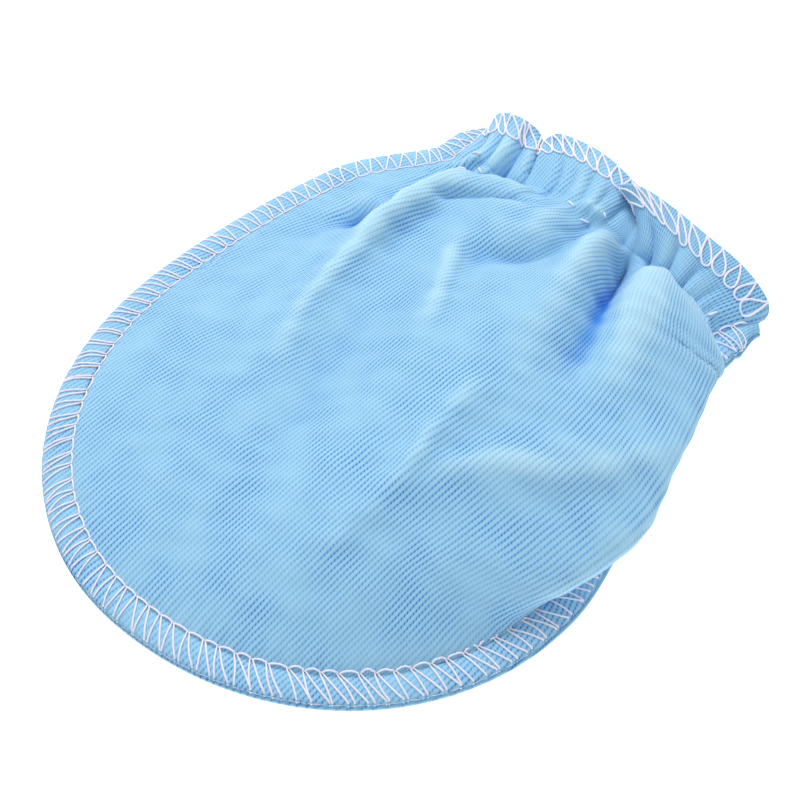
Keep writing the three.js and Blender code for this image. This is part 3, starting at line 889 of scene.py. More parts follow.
@dataclass
class ClothPanel:
    """One panel as a thin knitted shell with its rim outside the seam."""

    panel: Panel
    form: MittenForm
    grid: ClothGrid
    relief: ClothRelief = ClothRelief()
    thickness: float = 0.9
    edge_thickness: float = 0.5
    flat_size: tuple[float, float] = (96.0, 122.0)
    flat_area: float = 10700.0
    body_length: float = 92.0
    frill_length: float = 11.0
    gathered_width: float = 1.45  # of half the mitten's width
    frill_easing: int = 100
    rim_turn: float = 2.6
    rim_round: float = 6.0
    rim_least: float = 0.3
    rim_slope: float = 1.6
    form_passes: int = 3
    crease_passes: int = 26
    object: bpy.types.Object | None = field(default=None, init=False)

    def chain(self) -> list[tuple[int, int]]:
        """The grid's sewn edge: from the hem down the left, round the end and up the right."""
        rows = self.grid.body + self.grid.frill
        left = [(0, j) for j in range(rows, 0, -1)]
        tip = [(i, 0) for i in range(self.grid.across + 1)]
        right = [(self.grid.across, j) for j in range(1, rows + 1)]
        return left + tip + right

    def shares(self) -> list[np.ndarray]:
        """Each place's share across the panel, and its row."""
        return np.meshgrid(self.grid.columns(), self.grid.rows(), indexing="ij")

    def smooth_middle(self) -> np.ndarray:
        """The grid's places on the middle of the wall, with the frill's pleats turned softly."""
        points = self.form.surface(self.panel, *self.shares())
        pull = 0.5 * np.sin(math.pi * np.clip(self.grid.rows() - 1.0, 0.0, 1.0))[None, :, None]
        for _ in range(self.frill_easing):
            between = (points[:-2] + points[2:]) / 2
            points[1:-1] += (between - points[1:-1]) * pull
        return points

    def middle(self) -> np.ndarray:
        """The grid's places on the middle of the wall, with the cloth's small relief."""
        across, row = self.shares()
        relief, plan = self.relief, self.form.plan
        flat = plan.point(across, np.minimum(row, 1.0))
        distance, _ = plan.from_seam(flat)
        to_elastic = (row - 1.0) * np.where(row > 1.0, self.frill_length, self.body_length)
        lift = relief.at_seam(distance, plan.along_seam(flat))
        width = across * plan.half_width * self.gathered_width
        lift += relief.gathers(self.panel, width, to_elastic, distance)
        if self.panel is Panel.FRONT:
            down = np.clip(row - 1.0, 0.0, 1.0)
            for fold_line in FRILL_FOLDS:
                lift += fold_line.lift(across, down, to_elastic)
        lift += relief.ripples(flat, distance)
        if self.panel is Panel.BACK:
            near = smooth(0.0, relief.back_reach, relief.back_reach + to_elastic)
            lift = np.maximum(lift, 0.0) * near * relief.back_share
        points = self.smooth_middle()
        return points + grid_normals(points) * lift[..., None]

    def rim(self, points: np.ndarray) -> tuple[np.ndarray, np.ndarray]:
        """The band of cloth outside the seam line.

        Args:
            points: The grid's places.

        Returns:
            The band's places, a row for each place of the seam, and the way out at each.
        """
        line = np.array([points[i, j] for i, j in self.chain()])
        length = run_lengths(line)
        ahead, behind = (
            np.stack([np.interp(length + step, length, line[:, k]) for k in range(3)], axis=-1)
            for step in (self.rim_turn, -self.rim_turn)
        )
        turn = ahead - behind
        out = unit(np.stack([turn[:, 1], -turn[:, 0], np.zeros(len(line))], axis=-1))
        shares = np.linspace(0.0, 1.0, self.grid.rim + 1)[1:]
        to_end = np.minimum(length, length[-1] - length)
        grown = self.rim_least + (1 - self.rim_least) * smooth(0.0, self.rim_round, to_end)
        width = self.form.rim_width * grown
        band = line[:, None, :] + out[:, None, :] * (width[:, None] * shares)[..., None]
        relief = self.relief
        if self.panel is Panel.FRONT:
            level = self.form.front_level
            crown = relief.rim_crown * np.sin(math.pi * shares) - relief.rim_fall * shares**2
        else:
            level = self.form.back_level
            crown = -relief.back_rim_fall * shares**2
        sunk = np.minimum(1.0, shares * self.rim_slope)[None, :]
        band[..., 2] = line[:, None, 2] + (level - line[:, None, 2]) * sunk + crown[None, :]
        return band, out

    def laid_flat(self) -> np.ndarray:
        """The places of the grid and of its rim on the flat cloth.

        Returns:
            The UV map's places, the grid's first.
        """
        across, row = self.shares()
        start = self.form.plan.point(across, np.minimum(row, 1.0))
        start[..., 1] += self.frill_length * np.maximum(row - 1.0, 0.0)
        flat = FlatCloth().lay(self.smooth_middle(), start)
        # The elastic gathers the right side too, so its knit is drawn in to one width up to the hem.
        right = flat[-1, :, 0]
        drawn_in = np.maximum.accumulate(right) - right
        flat[..., 0] += smooth(0.5, 1.0, across) * drawn_in[None, :]
        steps = self.form.rim_width * np.linspace(0.0, 1.0, self.grid.rim + 1)[1:]
        line = np.array([flat[i, j] for i, j in self.chain()])
        turn = np.gradient(line, axis=0)
        out = unit(np.stack([turn[:, 1], -turn[:, 0]], axis=-1))
        rim = line[:, None, :] + out[:, None, :] * steps[None, :, None]
        return np.vstack([flat.reshape(-1, 2), rim.reshape(-1, 2)]) / UV_SPAN

    def build(self) -> bpy.types.Object:
        """Models the panel.

        Returns:
            The shell, closed, with its faces outward.
        """
        points = self.middle()
        band, _ = self.rim(points)
        columns, rows = points.shape[:2]
        index = np.arange(columns * rows).reshape(columns, rows)
        edge = np.array([index[i, j] for i, j in self.chain()])
        rim_index = columns * rows + np.arange(band.shape[0] * band.shape[1]).reshape(band.shape[:2])
        lines = np.column_stack([edge, rim_index])
        faces = np.vstack([
            np.stack([index[:-1, :-1], index[1:, :-1], index[1:, 1:], index[:-1, 1:]], -1).reshape(-1, 4),
            np.stack([lines[:-1, :-1], lines[:-1, 1:], lines[1:, 1:], lines[1:, :-1]], -1).reshape(-1, 4),
        ])
        places = np.vstack([points.reshape(-1, 3), band.reshape(-1, 3)])

        steps = self.form.rim_width * np.linspace(0.0, 1.0, self.grid.rim + 1)[1:]
        thin = self.thickness + (self.edge_thickness - self.thickness) * (steps / self.form.rim_width)
        thickness = np.concatenate([np.full(columns * rows, self.thickness), np.tile(thin, len(edge))])
        # A crease is where the cloth lies below its softened form, and a crest where it lies above it; the
        # material paints shade into the creases and a highlight onto the crests by this value.
        form = softened(points, self.form_passes)
        hollow = ((softened(form, self.crease_passes) - form) * grid_normals(form)).sum(-1)
        crease = np.concatenate([hollow.reshape(-1), np.zeros(band.shape[0] * band.shape[1])])
        self.object = wall(
            self.panel.value.replace("panel", "cloth"), places, faces, thickness,
            self.form.origin_shift, self.laid_flat(), {"crease": crease},
        )
        return self.object


def grid_normals(points: np.ndarray) -> np.ndarray:
    """Upward normals of a grid of places, with columns first."""
    return unit(np.cross(np.gradient(points, axis=0), np.gradient(points, axis=1)))


def model(name: str, places: np.ndarray, faces: np.ndarray) -> bpy.types.Object:
    """A smooth piece from its places in millimetres and its quads."""
    mesh = bpy.data.meshes.new(name)
    mesh.from_pydata((places * MM).tolist(), [], faces.tolist())
    mesh.shade_smooth()
    mesh.update()
    piece = bpy.data.objects.new(name, mesh)
    bpy.context.scene.collection.objects.link(piece)
    return piece


def wall(
    name: str, places: np.ndarray, faces: np.ndarray, thickness: np.ndarray, shift: np.ndarray,
    uv: np.ndarray, values: dict[str, np.ndarray],
) -> bpy.types.Object:
    """A closed shell round a surface, half its thickness to either side.

    Args:
        name: The piece's name.
        places: The surface's places, in millimetres.
        faces: Its quads, seen from outside.
        thickness: The shell's thickness at each place.
        shift: How far the piece moves to lie in the frame.
        uv: A flat place for each of the surface's places.
        values: Numbers for each place, by the name of their attribute.

    Returns:
        The shell.
    """
    corners = places[faces]
    face_normal = np.cross(corners[:, 2] - corners[:, 0], corners[:, 3] - corners[:, 1])
    normal = np.zeros_like(places)
    for k in range(4):
        np.add.at(normal, faces[:, k], face_normal)
    normal = unit(normal)
    count = len(places)
    half = normal * thickness[:, None] / 2
    skin = np.vstack([places + half, places - half])
    edges = np.vstack([np.column_stack([faces[:, k], faces[:, (k + 1) % 4]]) for k in range(4)])
    keys = {(int(a), int(b)) for a, b in edges}
    border = np.array([(a, b) for a, b in keys if (b, a) not in keys])
    sides = np.column_stack([border[:, 1], border[:, 0], border[:, 0] + count, border[:, 1] + count])
    quads = np.vstack([faces, faces[:, ::-1] + count, sides])
    piece = model(name, skin + shift, quads)
    mesh = piece.data
    loops = np.empty(len(mesh.loops), dtype=np.int32)
    mesh.loops.foreach_get("vertex_index", loops)
    layer = mesh.uv_layers.new(name="knit")
    layer.data.foreach_set("uv", np.vstack([uv, uv])[loops].astype(np.float32).ravel())
    for key, numbers in values.items():
        attribute = mesh.attributes.new(key, "FLOAT", "POINT")
        attribute.data.foreach_set("value", np.concatenate([numbers, numbers]).astype(np.float32))
    return piece


def linear(value: str) -> tuple[float, float, float, float]:
    """An sRGB hex colour as Blender's linear colour."""
    channels = [int(value[k:k + 2], 16) / 255 for k in (0, 2, 4)]
    return (*(c / 12.92 if c <= 0.04045 else ((c + 0.055) / 1.055) ** 2.4 for c in channels), 1.0)


def new_material(name: str) -> bpy.types.Material:
    """A material with no nodes yet."""
    material = bpy.data.materials.new(name)
    material.use_nodes = True
    material.node_tree.nodes.clear()
    return material


def add(
    tree: bpy.types.NodeTree, kind: str, links: dict[str | int, object] | None = None, **settings: object,
) -> bpy.types.Node:
    """Adds a node with its settings and what feeds it.

    Args:
        tree: The material's node tree.
        kind: The node's type, without the ShaderNode in front.
        links: What goes into each input, by name or number: a socket, a node with one output, or a value.
        **settings: The node's own properties.

    Returns:
        The node.
    """
    node = tree.nodes.new("ShaderNode" + kind)
    for key, value in settings.items():
        setattr(node, key, value)
    for key, value in (links or {}).items():
        socket = node.inputs[key]
        if isinstance(value, bpy.types.Node):
            value = value.outputs[0]
        if isinstance(value, bpy.types.NodeSocket):
            tree.links.new(value, socket)
        else:
            socket.default_value = value
    return node


@dataclass(frozen=True)
class InterlockFinish:
    """Light blue cotton interlock, knitted fine and washed soft.

    Attributes:
        base: The cloth's colour.
        bright: The painted highlight on its crests.
        shade: The painted shade deep in a fold.
        hole: The painted shade that the gaps between the stitches multiply it by.
        wale: From one column of stitches to the next, in millimetres.
        course: From one row of stitches to the next.
        stitch_slant: How many rows a row climbs for each column.
        hole_share: How dark the painted shade in the gaps is where columns and rows cross.
        groove_share: How dark the painted shade in the lines between the columns is.
        patch: The size of the patches where the knit shows more or less.
        strength: How much it shows in the faintest patches and in the clearest.
        fuzz: From one fibre end to the next.
        relief: How deep the knit is.
    """

    name: str = "cotton interlock, light blue"
    base: str = "9CCFEA"
    bright: str = "B4DEF0"
    shade: str = "2F86D8"
    hole: str = "3A8FDC"
    wale: float = 0.74
    course: float = 0.60
    stitch_slant: float = 1.18
    hole_share: float = 0.62
    groove_share: float = 0.42
    patch: float = 8.93
    strength: tuple[float, float] = (0.35, 1.05)
    fuzz: float = 0.139
    relief: float = 0.10

    def material(self) -> bpy.types.Material:
        """The knit, drawn on the flat cloth that the UV map keeps.

        Returns:
            The material.
        """
        # Matt, with a soft bloom at grazing angles and a fine even grain of dots in slanting lines, which is
        # painted shade in the gaps between the stitches.
        material = new_material(self.name)
        tree = material.node_tree
        flat = add(tree, "UVMap", uv_map="knit")
        knit, height = self.knit(tree, flat)
        fuzz = add(tree, "TexNoise", {"Vector": flat, "Scale": UV_SPAN / self.fuzz, "Detail": 2.0})
        soft = add(tree, "Math", {0: fuzz.outputs[0], 1: 0.35}, operation="MULTIPLY")
        surface = add(tree, "Math", {0: height, 1: soft}, operation="ADD")
        bump = add(tree, "Bump", {"Strength": 0.55, "Distance": self.relief * MM, "Height": surface})
        shader = add(tree, "BsdfPrincipled", {
            "Base Color": self.colour(tree, flat, knit), "Normal": bump, "Roughness": 0.92,
            "Sheen Weight": 0.25, "Sheen Roughness": 0.5, "Specular IOR Level": 0.2,
        })
        add(tree, "OutputMaterial", {0: shader})
        return material

    def knit(self, tree: bpy.types.NodeTree, flat: bpy.types.Node) -> tuple[bpy.types.Node, bpy.types.Node]:
        """The stitches, as columns and slanting rows.

        Args:
            tree: The material's node tree.
            flat: Places on the flat cloth.

        Returns:
            How much painted shade the gaps between the stitches get, and the stitches' height.
        """
        place = add(tree, "SeparateXYZ", {0: flat})
        u = add(tree, "Math", {0: place.outputs[0], 1: UV_SPAN / self.wale}, operation="MULTIPLY")
        v = add(tree, "Math", {0: place.outputs[1], 1: UV_SPAN / self.course}, operation="MULTIPLY")
        slanted = add(tree, "Math", {0: u, 1: self.stitch_slant, 2: v}, operation="MULTIPLY_ADD")
        steps = []
        for counted, low, high in ((u, 0.30, 1.0), (slanted, 0.2, 0.95)):
            part = add(tree, "Math", {0: counted}, operation="FRACT")
            side = add(tree, "Math", {0: part, 1: 0.5}, operation="SUBTRACT")
            off = add(tree, "Math", {0: side}, operation="ABSOLUTE")
            twice = add(tree, "Math", {0: off, 1: 2.0}, operation="MULTIPLY")
            steps.append(add(tree, "MapRange", {0: twice, 1: low, 2: high}, interpolation_type="SMOOTHSTEP"))
        groove, gap = steps
        # Painted shade: the gaps where columns and rows cross and the grooves between the columns are
        # darkened as if shaded.
        hole = add(tree, "Math", {0: groove, 1: gap}, operation="MULTIPLY")
        dots = add(tree, "Math", {0: hole, 1: self.hole_share}, operation="MULTIPLY")
        shown = add(tree, "Math", {0: groove, 1: self.groove_share, 2: dots}, operation="MULTIPLY_ADD")
        stitch = add(tree, "Math", {0: 1.0, 1: gap}, operation="SUBTRACT")
        crown = add(tree, "Math", {0: stitch, 1: 0.5}, operation="MULTIPLY")
        sunk = add(tree, "Math", {0: groove, 1: 0.8}, operation="MULTIPLY")
        return shown, add(tree, "Math", {0: crown, 1: sunk}, operation="SUBTRACT")

    def colour(
        self, tree: bpy.types.NodeTree, flat: bpy.types.Node, knit: bpy.types.Node,
    ) -> bpy.types.NodeSocket:
        """The cloth's blue: deeper with painted shade in its creases, paler with a painted highlight on its
        crests, and darker with painted shade between stitches.

        Args:
            tree: The material's node tree.
            flat: Places on the flat cloth.
            knit: How much painted shade the gaps between the stitches get.

        Returns:
            The colour's socket.
        """
        # Painted shade deep in the creases and a painted highlight on the crests, both read from the crease
        # attribute.
        crease = add(tree, "Attribute", attribute_name="crease").outputs["Fac"]
        deep = add(tree, "MapRange", {0: crease, 1: 0.06, 2: 1.3}, interpolation_type="SMOOTHSTEP")
        high = add(tree, "MapRange", {0: crease, 1: -0.02, 2: -0.6}, interpolation_type="SMOOTHSTEP")
        lit = add(tree, "Mix", {0: high, 6: linear(self.base), 7: linear(self.bright)}, data_type="RGBA")
        cloth = add(tree, "Mix", {0: deep, 6: lit.outputs[2], 7: linear(self.shade)}, data_type="RGBA")
        patches = add(tree, "TexNoise", {"Vector": flat, "Scale": UV_SPAN / self.patch, "Detail": 2.0})
        faint, clear = self.strength
        strength = add(tree, "MapRange", {0: patches.outputs[0], 1: 0.35, 2: 0.65, 3: faint, 4: clear})
        shown = add(tree, "Math", {0: knit, 1: strength}, operation="MULTIPLY")
        # The painted highlight on the crests washes out the knit's painted gap shade there.
        highlight_fade = add(tree, "Math", {0: high, 1: 0.6}, operation="MULTIPLY")
        plain = add(tree, "Math", {0: 1.0, 1: highlight_fade}, operation="SUBTRACT")
        share = add(tree, "Math", {0: shown, 1: plain}, operation="MULTIPLY")
        # Multiplies in the painted shade of the gaps between the stitches.
        knitted = add(
            tree, "Mix", {0: share, 6: cloth.outputs[2], 7: linear(self.hole)},
            data_type="RGBA", blend_type="MULTIPLY",
        )
        return knitted.outputs[2]


@dataclass(frozen=True)
class ThreadFinish:
    """White spun polyester sewing thread."""

    name: str = "spun polyester thread, white"
    colour: str = "FBF8FF"
    shade: str = "ECE8F6"
    fibre: float = 0.4
    relief: float = 0.05

    def material(self) -> bpy.types.Material:
        """The thread, a little darker here and there.

        Returns:
            The material.
        """
        # Near white with a faint cool tint, softly shiny, and a little rough from its fibres.
        material = new_material(self.name)
        tree = material.node_tree
        place = add(tree, "TexCoord").outputs["Object"]
        noise = add(tree, "TexNoise", {"Vector": place, "Scale": 1 / (self.fibre * MM), "Detail": 2.0})
        fibres = noise.outputs[0]
        ends = {6: linear(self.colour), 7: linear(self.shade)}
        colour = add(tree, "Mix", {0: fibres, **ends}, data_type="RGBA")
        bump = add(tree, "Bump", {"Strength": 0.3, "Distance": self.relief * MM, "Height": fibres})
        shader = add(tree, "BsdfPrincipled", {
            "Base Color": colour.outputs[2], "Normal": bump, "Roughness": 0.6, "Sheen Weight": 0.15,
        })
        add(tree, "OutputMaterial", {0: shader})
        return material


@dataclass
class ThreadMesh:
    """Strands of sewing thread, gathered into one mesh."""

    radius: float = 0.15
    sides: int = 6
    end_taper: float = 0.55
    places: list[np.ndarray] = field(default_factory=list)
    faces: list[np.ndarray] = field(default_factory=list)
    count: int = 0

    def strand(self, line: np.ndarray, up: np.ndarray, share: float = 1.0) -> None:
        """Adds a strand with closed ends.

        Args:
            line: Places along its middle.
            up: The way off the cloth at each.
            share: How thick it is beside the other strands.
        """
        tangent = unit(np.gradient(line, axis=0))
        side = unit(np.cross(tangent, up))
        lift = np.cross(side, tangent)
        angle = np.linspace(0.0, 2 * math.pi, self.sides, endpoint=False)[None, :, None]
        taper = np.ones(len(line))
        taper[[0, -1]] = self.end_taper
        ring = np.cos(angle) * side[:, None, :] + np.sin(angle) * lift[:, None, :]
        thick = share * self.radius * taper[:, None, None]
        self.places.append((line[:, None, :] + thick * ring).reshape(-1, 3))
        index = self.count + np.arange(len(line) * self.sides).reshape(len(line), self.sides)
        after = np.roll(index, -1, axis=1)
        self.faces.append(np.stack([index[:-1], index[1:], after[1:], after[:-1]], axis=-1).reshape(-1, 4))
        for fan in (index[0], index[-1][::-1]):
            self.faces.append(np.array([[fan[0], *fan[k:k + 3]] for k in range(1, self.sides - 2, 2)]))
        self.count += len(line) * self.sides

    def build(self, name: str, shift: np.ndarray) -> bpy.types.Object:
        """Makes the piece, moved by a shift to lie in the frame."""
        return model(name, np.vstack(self.places) + shift, np.vstack(self.faces))


@dataclass(frozen=True)
class ClothSurface:
    """A built panel's surface, to lay thread on."""

    tree: BVHTree
    shift: np.ndarray

    @staticmethod
    def of(panel: ClothPanel) -> "ClothSurface":
        """The surface of a panel that has been built."""
        shape = bmesh.new()
        shape.from_mesh(panel.object.data)
        tree = BVHTree.FromBMesh(shape)
        shape.free()
        return ClothSurface(tree, panel.form.origin_shift)

    def nearest(self, places: np.ndarray) -> tuple[np.ndarray, np.ndarray]:
        """The nearest places on the cloth, and the way off it there."""
        found = [self.tree.find_nearest(Vector(place)) for place in (places + self.shift) * MM]
        spots = np.array([hit[0] for hit in found]) / MM - self.shift
        return spots, np.array([hit[1] for hit in found])


class Slant(NamedTuple):
    """How the overlock lies at a place along the seam."""

    along: float
    early: float
    late: float
    scallop: float


SEAM_SLANTS: list[Slant] = [Slant(*row) for row in (
    (0, 0.00, 0.35, 0.5), (18, -0.20, 0.25, 0.65), (38, -0.26, 0.21, 0.7), (48, -0.12, 0.26, 0.7),
    (58, 0.05, 0.32, 0.75), (78, 0.14, 0.30, 0.65), (92, 0.20, 0.34, 0.45), (106, 0.36, 0.54, 0.25),
    (124, 0.12, 0.42, 0.2), (144, 0.36, 0.74, 0.25), (156, 0.42, 0.78, 0.5), (166, 0.48, 0.84, 0.65),
    (177, 0.32, 0.68, 0.7), (192, 0.26, 0.52, 0.6), (260, 0.05, 0.4, 0.5),
)]


@dataclass(frozen=True)
class CoverPath:
    """A sewn edge: how far one is along its needle line, and how far out towards the cut edge.

    Attributes:
        line: Places on the needle line.
        out: Directions from there towards the cut edge, over the cloth.
        up: Directions off the cloth.
        width: From the needle line to the cut edge.
    """

    line: np.ndarray
    out: np.ndarray
    up: np.ndarray
    width: float

    @property
    def lengths(self) -> np.ndarray:
        """How far along each place lies."""
        return run_lengths(self.line)

    def read(self, values: np.ndarray, along: np.ndarray) -> np.ndarray:
        """Values kept for the line's places, read between them."""
        return np.stack([np.interp(along, self.lengths, values[:, k]) for k in range(3)], axis=-1)

    def place(self, along: np.ndarray, outward: np.ndarray, lift: float) -> np.ndarray:
        """Places on the edge's cloth.

        Args:
            along: How far along the needle line.
            outward: How far from it towards the cut edge.
            lift: How far off the middle of the cloth.

        Returns:
            Places in space.
        """
        step = unit(self.read(self.out, along)) * np.asarray(outward, float)[:, None]
        return self.read(self.line, along) + step + self.read(self.up, along) * lift


@dataclass
class Overlock:
    """A three-thread overlock: a scalloped needle line, and two legs from each stitch to the cut edge.

    Attributes:
        threads: Where the strands are added.
        path: The sewn edge.
        cloth: The cloth that the stitches lie on.
        slants: How the stitches lie along the path.
        teardrops: Whether each stitch shows as one closed loop.
        spread: How far the legs start to either side of the stitch.
        uneven: How far their slants differ by chance.
        wrap: How far they go round the cut edge.
        lift: How far the thread's middle is off the cloth.
        reach: How far above the panel's middle the nearest cloth is looked for.
        edge_share: How thick the edge's thread is beside the others.
    """

    threads: ThreadMesh
    path: CoverPath
    cloth: ClothSurface
    slants: Sequence[Slant]
    pitch: float = 2.5
    teardrops: bool = False
    seed: int = 5
    spread: float = 0.22
    uneven: float = 0.06
    uneven_pitch: float = 0.06
    uneven_scallop: float = 0.15
    leg_bend: float = 0.12
    loop_width: float = 0.70
    wrap: float = 0.9
    wrap_turn: tuple[float, ...] = (0.4, 0.75, 1.0)
    lift: float = 0.12
    reach: float = 0.7
    edge_step: float = 0.6
    edge_out: float = 0.02
    edge_wave: float = 0.06
    edge_lift: float = -0.2
    edge_share: float = 0.42

    def sew(self, start: float) -> int:
        """Lays the stitches on the cloth.

        Args:
            start: How far from the path's ends the first and the last stitch are.

        Returns:
            How many stitches there are.
        """
        end = self.path.lengths[-1] - start
        table = Table(self.slants)
        chance = np.random.default_rng(self.seed)
        count = int((end - start) // self.pitch)
        wobble = chance.normal(0.0, 1.0, (count + 1, 5))
        nodes = start + self.pitch * (np.arange(count + 1) + self.uneven_pitch * wobble[:, 0])
        for k in range(count):
            first, last = nodes[k], nodes[k + 1]
            early, late, scallop = (float(table.at(np.array(first), column)) for column in (1, 2, 3))
            if self.teardrops:
                self.teardrop(first, last - first, early)
                continue
            scallop *= 1 + self.uneven_scallop * wobble[k, 1]
            share = np.linspace(0.0, 1.0, 9)
            bow = np.sin(math.pi * share) ** 0.8
            self.strand(first + (last - first) * share, -scallop * bow)
            depth = np.linspace(-0.05, 1.0, 9) * self.path.width
            bend = self.leg_bend * wobble[k, 4] * np.sin(math.pi * np.clip(depth / self.path.width, 0, 1))
            for offset, slant, change in (
                (-self.spread, early, wobble[k, 2]), (self.spread, late, wobble[k, 3]),
            ):
                turned = slant + self.uneven * change
                self.strand(first + offset + turned * depth + bend, depth, self.wrap)
        self.edge(start, end)
        return count

    def teardrop(self, first: float, pitch: float, slant: float) -> None:
        """Lays one closed loop: its point is at the cut edge and its round end at the needle line.

        Args:
            first: How far along the path its middle is.
            pitch: How far the next loop is.
            slant: How far its point leans along the edge, as a share of its height.
        """
        turn = np.linspace(0.0, 2 * math.pi, 23)
        depth = self.path.width * (1 + np.cos(turn)) / 2
        width = self.loop_width * pitch * np.sin(turn) * np.sin(turn / 2) ** 2
        self.strand(first + width + slant * depth, depth)

    def strand(self, along: np.ndarray, outward: np.ndarray, wrap: float = 0.0) -> None:
        """Lays one strand on the cloth, and round the cut edge where it has a wrap."""
        spots, up = self.cloth.nearest(self.path.place(along, outward, self.reach))
        places = spots + up * self.lift
        if wrap:
            out = unit(self.path.read(self.path.out, along[-1:]))
            down = np.array([0.0, 0.0, wrap]) * np.array(self.wrap_turn)[:, None]
            places = np.vstack([places, spots[-1] + out * self.lift - down])
            up = np.vstack([up, np.repeat(out, len(self.wrap_turn), axis=0)])
        self.threads.strand(places, up)

    def edge(self, start: float, end: float) -> None:
        """Lays the thread that joins the stitches along the cut edge."""
        along = np.arange(start, end, self.edge_step)
        spots, _ = self.cloth.nearest(self.path.place(along, np.full(len(along), self.path.width), 0.0))
        out = unit(self.path.read(self.path.out, along))
        off = self.edge_out + self.edge_wave * np.sin(2 * math.pi * along / self.pitch)[:, None]
        line = spots + out * off + np.array([0.0, 0.0, self.edge_lift])
        self.threads.strand(line, out, self.edge_share)


@dataclass
class ElasticStitches:
    """The few zigzag stitches of the sewn-in elastic that show between the gathers.

    Attributes:
        shown: Share of the way across, millimetres above the elastic's middle, and turn in degrees.
    """

    length: float = 1.7
    arch: float = 0.16
    reach: float = 0.7
    shown: tuple[tuple[float, float, float], ...] = (
        (0.090, 0.2, 35), (0.141, -0.2, -30), (0.200, -0.9, 20), (0.470, -0.2, -20), (0.534, -0.3, 15),
        (0.562, 0.1, -25), (0.955, 1.2, 70), (0.975, -0.4, 60),
    )

    def sew(self, threads: ThreadMesh, front: ClothPanel, cloth: ClothSurface) -> None:
        """Lays the stitches that show.

        Args:
            threads: Where the strands are added.
            front: The front panel.
            cloth: Its surface.
        """
        share = np.linspace(-0.5, 0.5, 7)[:, None]
        for across, above, turn in self.shown:
            row = np.array([1.0 + above / front.frill_length])
            middle = front.form.surface(Panel.FRONT, np.array([across]), row)[0]
            angle = math.radians(turn)
            way = np.array([math.cos(angle), math.sin(angle), 0.0])
            line = middle + share * self.length * way + np.array([0.0, 0.0, self.reach])
            places, up = cloth.nearest(line)
            threads.strand(places + up * (self.arch * np.cos(math.pi * share)), up)


@dataclass(frozen=True)
class Studio:
    """A pale floor, soft light from the upper left, and the camera at the photo's angle."""

    azimuth: float = 42.0
    elevation: float = 49.0
    distance: float = 0.300
    target: tuple[float, float, float] = (0.6, -2.85, 0.0)
    lens: float = 87.75
    sensor: float = 36.0
    floor_size: float = 4.0
    table_glow: float = 0.6
    key_watts: float = 7.2
    fill_watts: float = 1.6
    surroundings: float = 0.56

    def camera(self, shift: np.ndarray) -> None:
        """Sets up the camera.

        Args:
            shift: How far the mitten was moved to lie in the frame.
        """
        turn, tilt = math.radians(self.azimuth), math.radians(self.elevation)
        way = Vector((math.sin(turn) * math.cos(tilt), -math.cos(turn) * math.cos(tilt), math.sin(tilt)))
        target = Vector((np.array(self.target) + shift) * MM)
        data = bpy.data.cameras.new("camera")
        data.lens, data.sensor_width, data.clip_start = self.lens, self.sensor, 0.01
        camera = bpy.data.objects.new("camera", data)
        camera.location = target + way * self.distance
        camera.rotation_euler = (-way).to_track_quat("-Z", "Y").to_euler()
        bpy.context.scene.collection.objects.link(camera)
        bpy.context.scene.camera = camera

    def floor(self) -> bpy.types.Object:
        """The floor, a light table that leaves hardly any shadow.

        Returns:
            The floor.
        """
        bpy.ops.mesh.primitive_plane_add(size=self.floor_size, location=(0, 0, 0))
        floor = bpy.context.object
        floor.name = "floor"
        # Opal acrylic lit from below: a plain, even white.
        material = bpy.data.materials.new("opal acrylic light table")
        material.use_nodes = True
        shader = material.node_tree.nodes["Principled BSDF"]
        shader.inputs["Base Color"].default_value = linear("F4F5F7")
        shader.inputs["Roughness"].default_value = 0.9
        shader.inputs["Emission Color"].default_value = linear("FFFFFF")
        shader.inputs["Emission Strength"].default_value = self.table_glow
        floor.data.materials.append(material)
        return floor

    def light(self, name: str, place: tuple[float, float, float], size: float, watts: float) -> None:
        """A soft square light that faces the mitten.

        Args:
            name: Its name.
            place: Where it stands, in metres.
            size: Its width.
            watts: Its power.
        """
        data = bpy.data.lights.new(name, "AREA")
        data.size, data.energy = size, watts
        light = bpy.data.objects.new(name, data)
        light.location = place
        light.rotation_euler = (-Vector(place)).to_track_quat("-Z", "Y").to_euler()
        bpy.context.scene.collection.objects.link(light)

    def lights(self) -> None:
        """The soft boxes and the pale surroundings."""
        self.light("key soft box", (-0.55, 0.35, 0.75), 0.5, self.key_watts)
        self.light("fill soft box", (0.7, -0.5, 0.6), 0.8, self.fill_watts)
        world = bpy.data.worlds.new("pale studio")
        world.use_nodes = True
        background = world.node_tree.nodes["Background"]
        background.inputs["Color"].default_value = linear("F6F9FF")
        background.inputs["Strength"].default_value = self.surroundings
        bpy.context.scene.world = world
        bpy.context.scene.view_settings.view_transform = "Standard"


FRONT_GRID = ClothGrid(across=200, body=160, frill=44, rim=7, crowding=(
    Crowding(0.0, 0.06, 0.8), Crowding(0.31, 0.05, 0.6), Crowding(0.655, 0.055, 2.6),
    Crowding(0.58, 0.08, 0.6), Crowding(0.83, 0.13, 1.2), Crowding(0.94, 0.04, 0.7),
))
BACK_GRID = ClothGrid(across=120, body=110, frill=24, rim=6)
HEM_WIDTH = 4.9
HEM_PITCH = 2.35
HEM_THREAD = 0.18


def seam_path(front: ClothPanel, points: np.ndarray, out: np.ndarray) -> CoverPath:
    """The seam as a sewn edge.

    Args:
        front: The front panel.
        points: Its grid's places.
        out: The way out at each place of its sewn edge.

    Returns:
        The path.
    """
    line = np.array([points[i, j] for i, j in front.chain()])
    return CoverPath(line, out, np.tile([0.0, 0.0, 1.0], (len(line), 1)), front.form.rim_width)


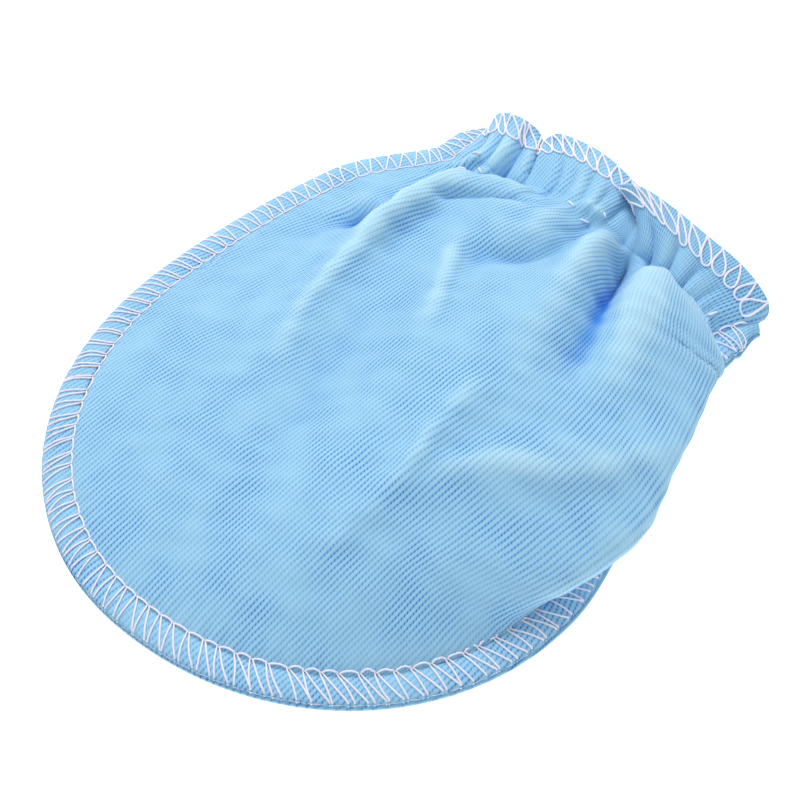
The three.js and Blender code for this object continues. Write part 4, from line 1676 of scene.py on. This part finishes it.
def hem_path(panel: ClothPanel, points: np.ndarray, width: float, sign: int) -> CoverPath:
    """The frill's hem as a sewn edge.

    Args:
        panel: The panel.
        points: Its grid's places.
        width: From the needle line to the hem.
        sign: 1 for the face that looks up, -1 for the other.

    Returns:
        The path.
    """
    frill = points[:, panel.grid.body:]
    normal = grid_normals(points)[:, panel.grid.body:]
    needle, up = [], []
    for column, way in zip(frill, normal):
        length = run_lengths(column)
        at = length[-1] - width
        needle.append([np.interp(at, length, column[:, k]) for k in range(3)])
        up.append([np.interp(at, length, way[:, k]) for k in range(3)])
    line = np.array(needle)
    return CoverPath(line, unit(frill[:, -1] - line), unit(np.array(up)) * sign, width)


def hem_slants(length: float) -> list[Slant]:
    """How the hem's loops lean along it: more and more to the left, and fanned at the right end."""
    lean = ((0, -0.10), (0.4 * length, -0.25), (0.7 * length, -0.42), (length - 7, -0.35), (length, 0.6))
    return [Slant(at, turn, 0, 0) for at, turn in lean]


def main() -> None:
    """Builds the mitten, its stitches and the studio."""
    logging.basicConfig(level=logging.INFO, format="%(message)s")
    bpy.ops.object.select_all(action="DESELECT")
    form = MittenForm()
    interlock, thread = InterlockFinish().material(), ThreadFinish().material()
    panels = {
        Panel.FRONT: ClothPanel(Panel.FRONT, form, FRONT_GRID),
        Panel.BACK: ClothPanel(Panel.BACK, form, BACK_GRID),
    }
    for kind, panel in panels.items():
        piece = panel.build()
        piece.data.materials.append(interlock)
        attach(piece, "root")
        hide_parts(kind.value)
        LOG.info("%s: %d faces", piece.name, len(piece.data.polygons))
    cloths = {kind: ClothSurface.of(panel) for kind, panel in panels.items()}
    middles = {kind: panel.middle() for kind, panel in panels.items()}
    front, back = panels[Panel.FRONT], panels[Panel.BACK]

    seam, hem = ThreadMesh(), ThreadMesh(radius=HEM_THREAD)
    path = seam_path(front, middles[Panel.FRONT], front.rim(middles[Panel.FRONT])[1])
    count = Overlock(seam, path, cloths[Panel.FRONT], SEAM_SLANTS).sew(1.0)
    LOG.info("seam: %d stitches", count)
    for kind, sign in ((Panel.FRONT, 1), (Panel.FRONT, -1), (Panel.BACK, 1)):
        edge = hem_path(panels[kind], middles[kind], HEM_WIDTH, sign)
        slants = hem_slants(edge.lengths[-1])
        stitches = Overlock(hem, edge, cloths[kind], slants, pitch=HEM_PITCH, teardrops=True, seed=9)
        LOG.info("hem of %s, face %d: %d stitches", kind.value, sign, stitches.sew(0.6))
    ElasticStitches().sew(hem, front, cloths[Panel.FRONT])
    for mesh, name in ((seam, "seam_overlock"), (hem, "hem_overlock")):
        piece = mesh.build(name, form.origin_shift)
        piece.data.materials.append(thread)
        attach(piece, "root")
        LOG.info("%s: %d faces", name, len(piece.data.polygons))

    studio = Studio()
    studio.camera(form.origin_shift)
    studio.floor()
    studio.lights()


if __name__ == "__main__":
    main()
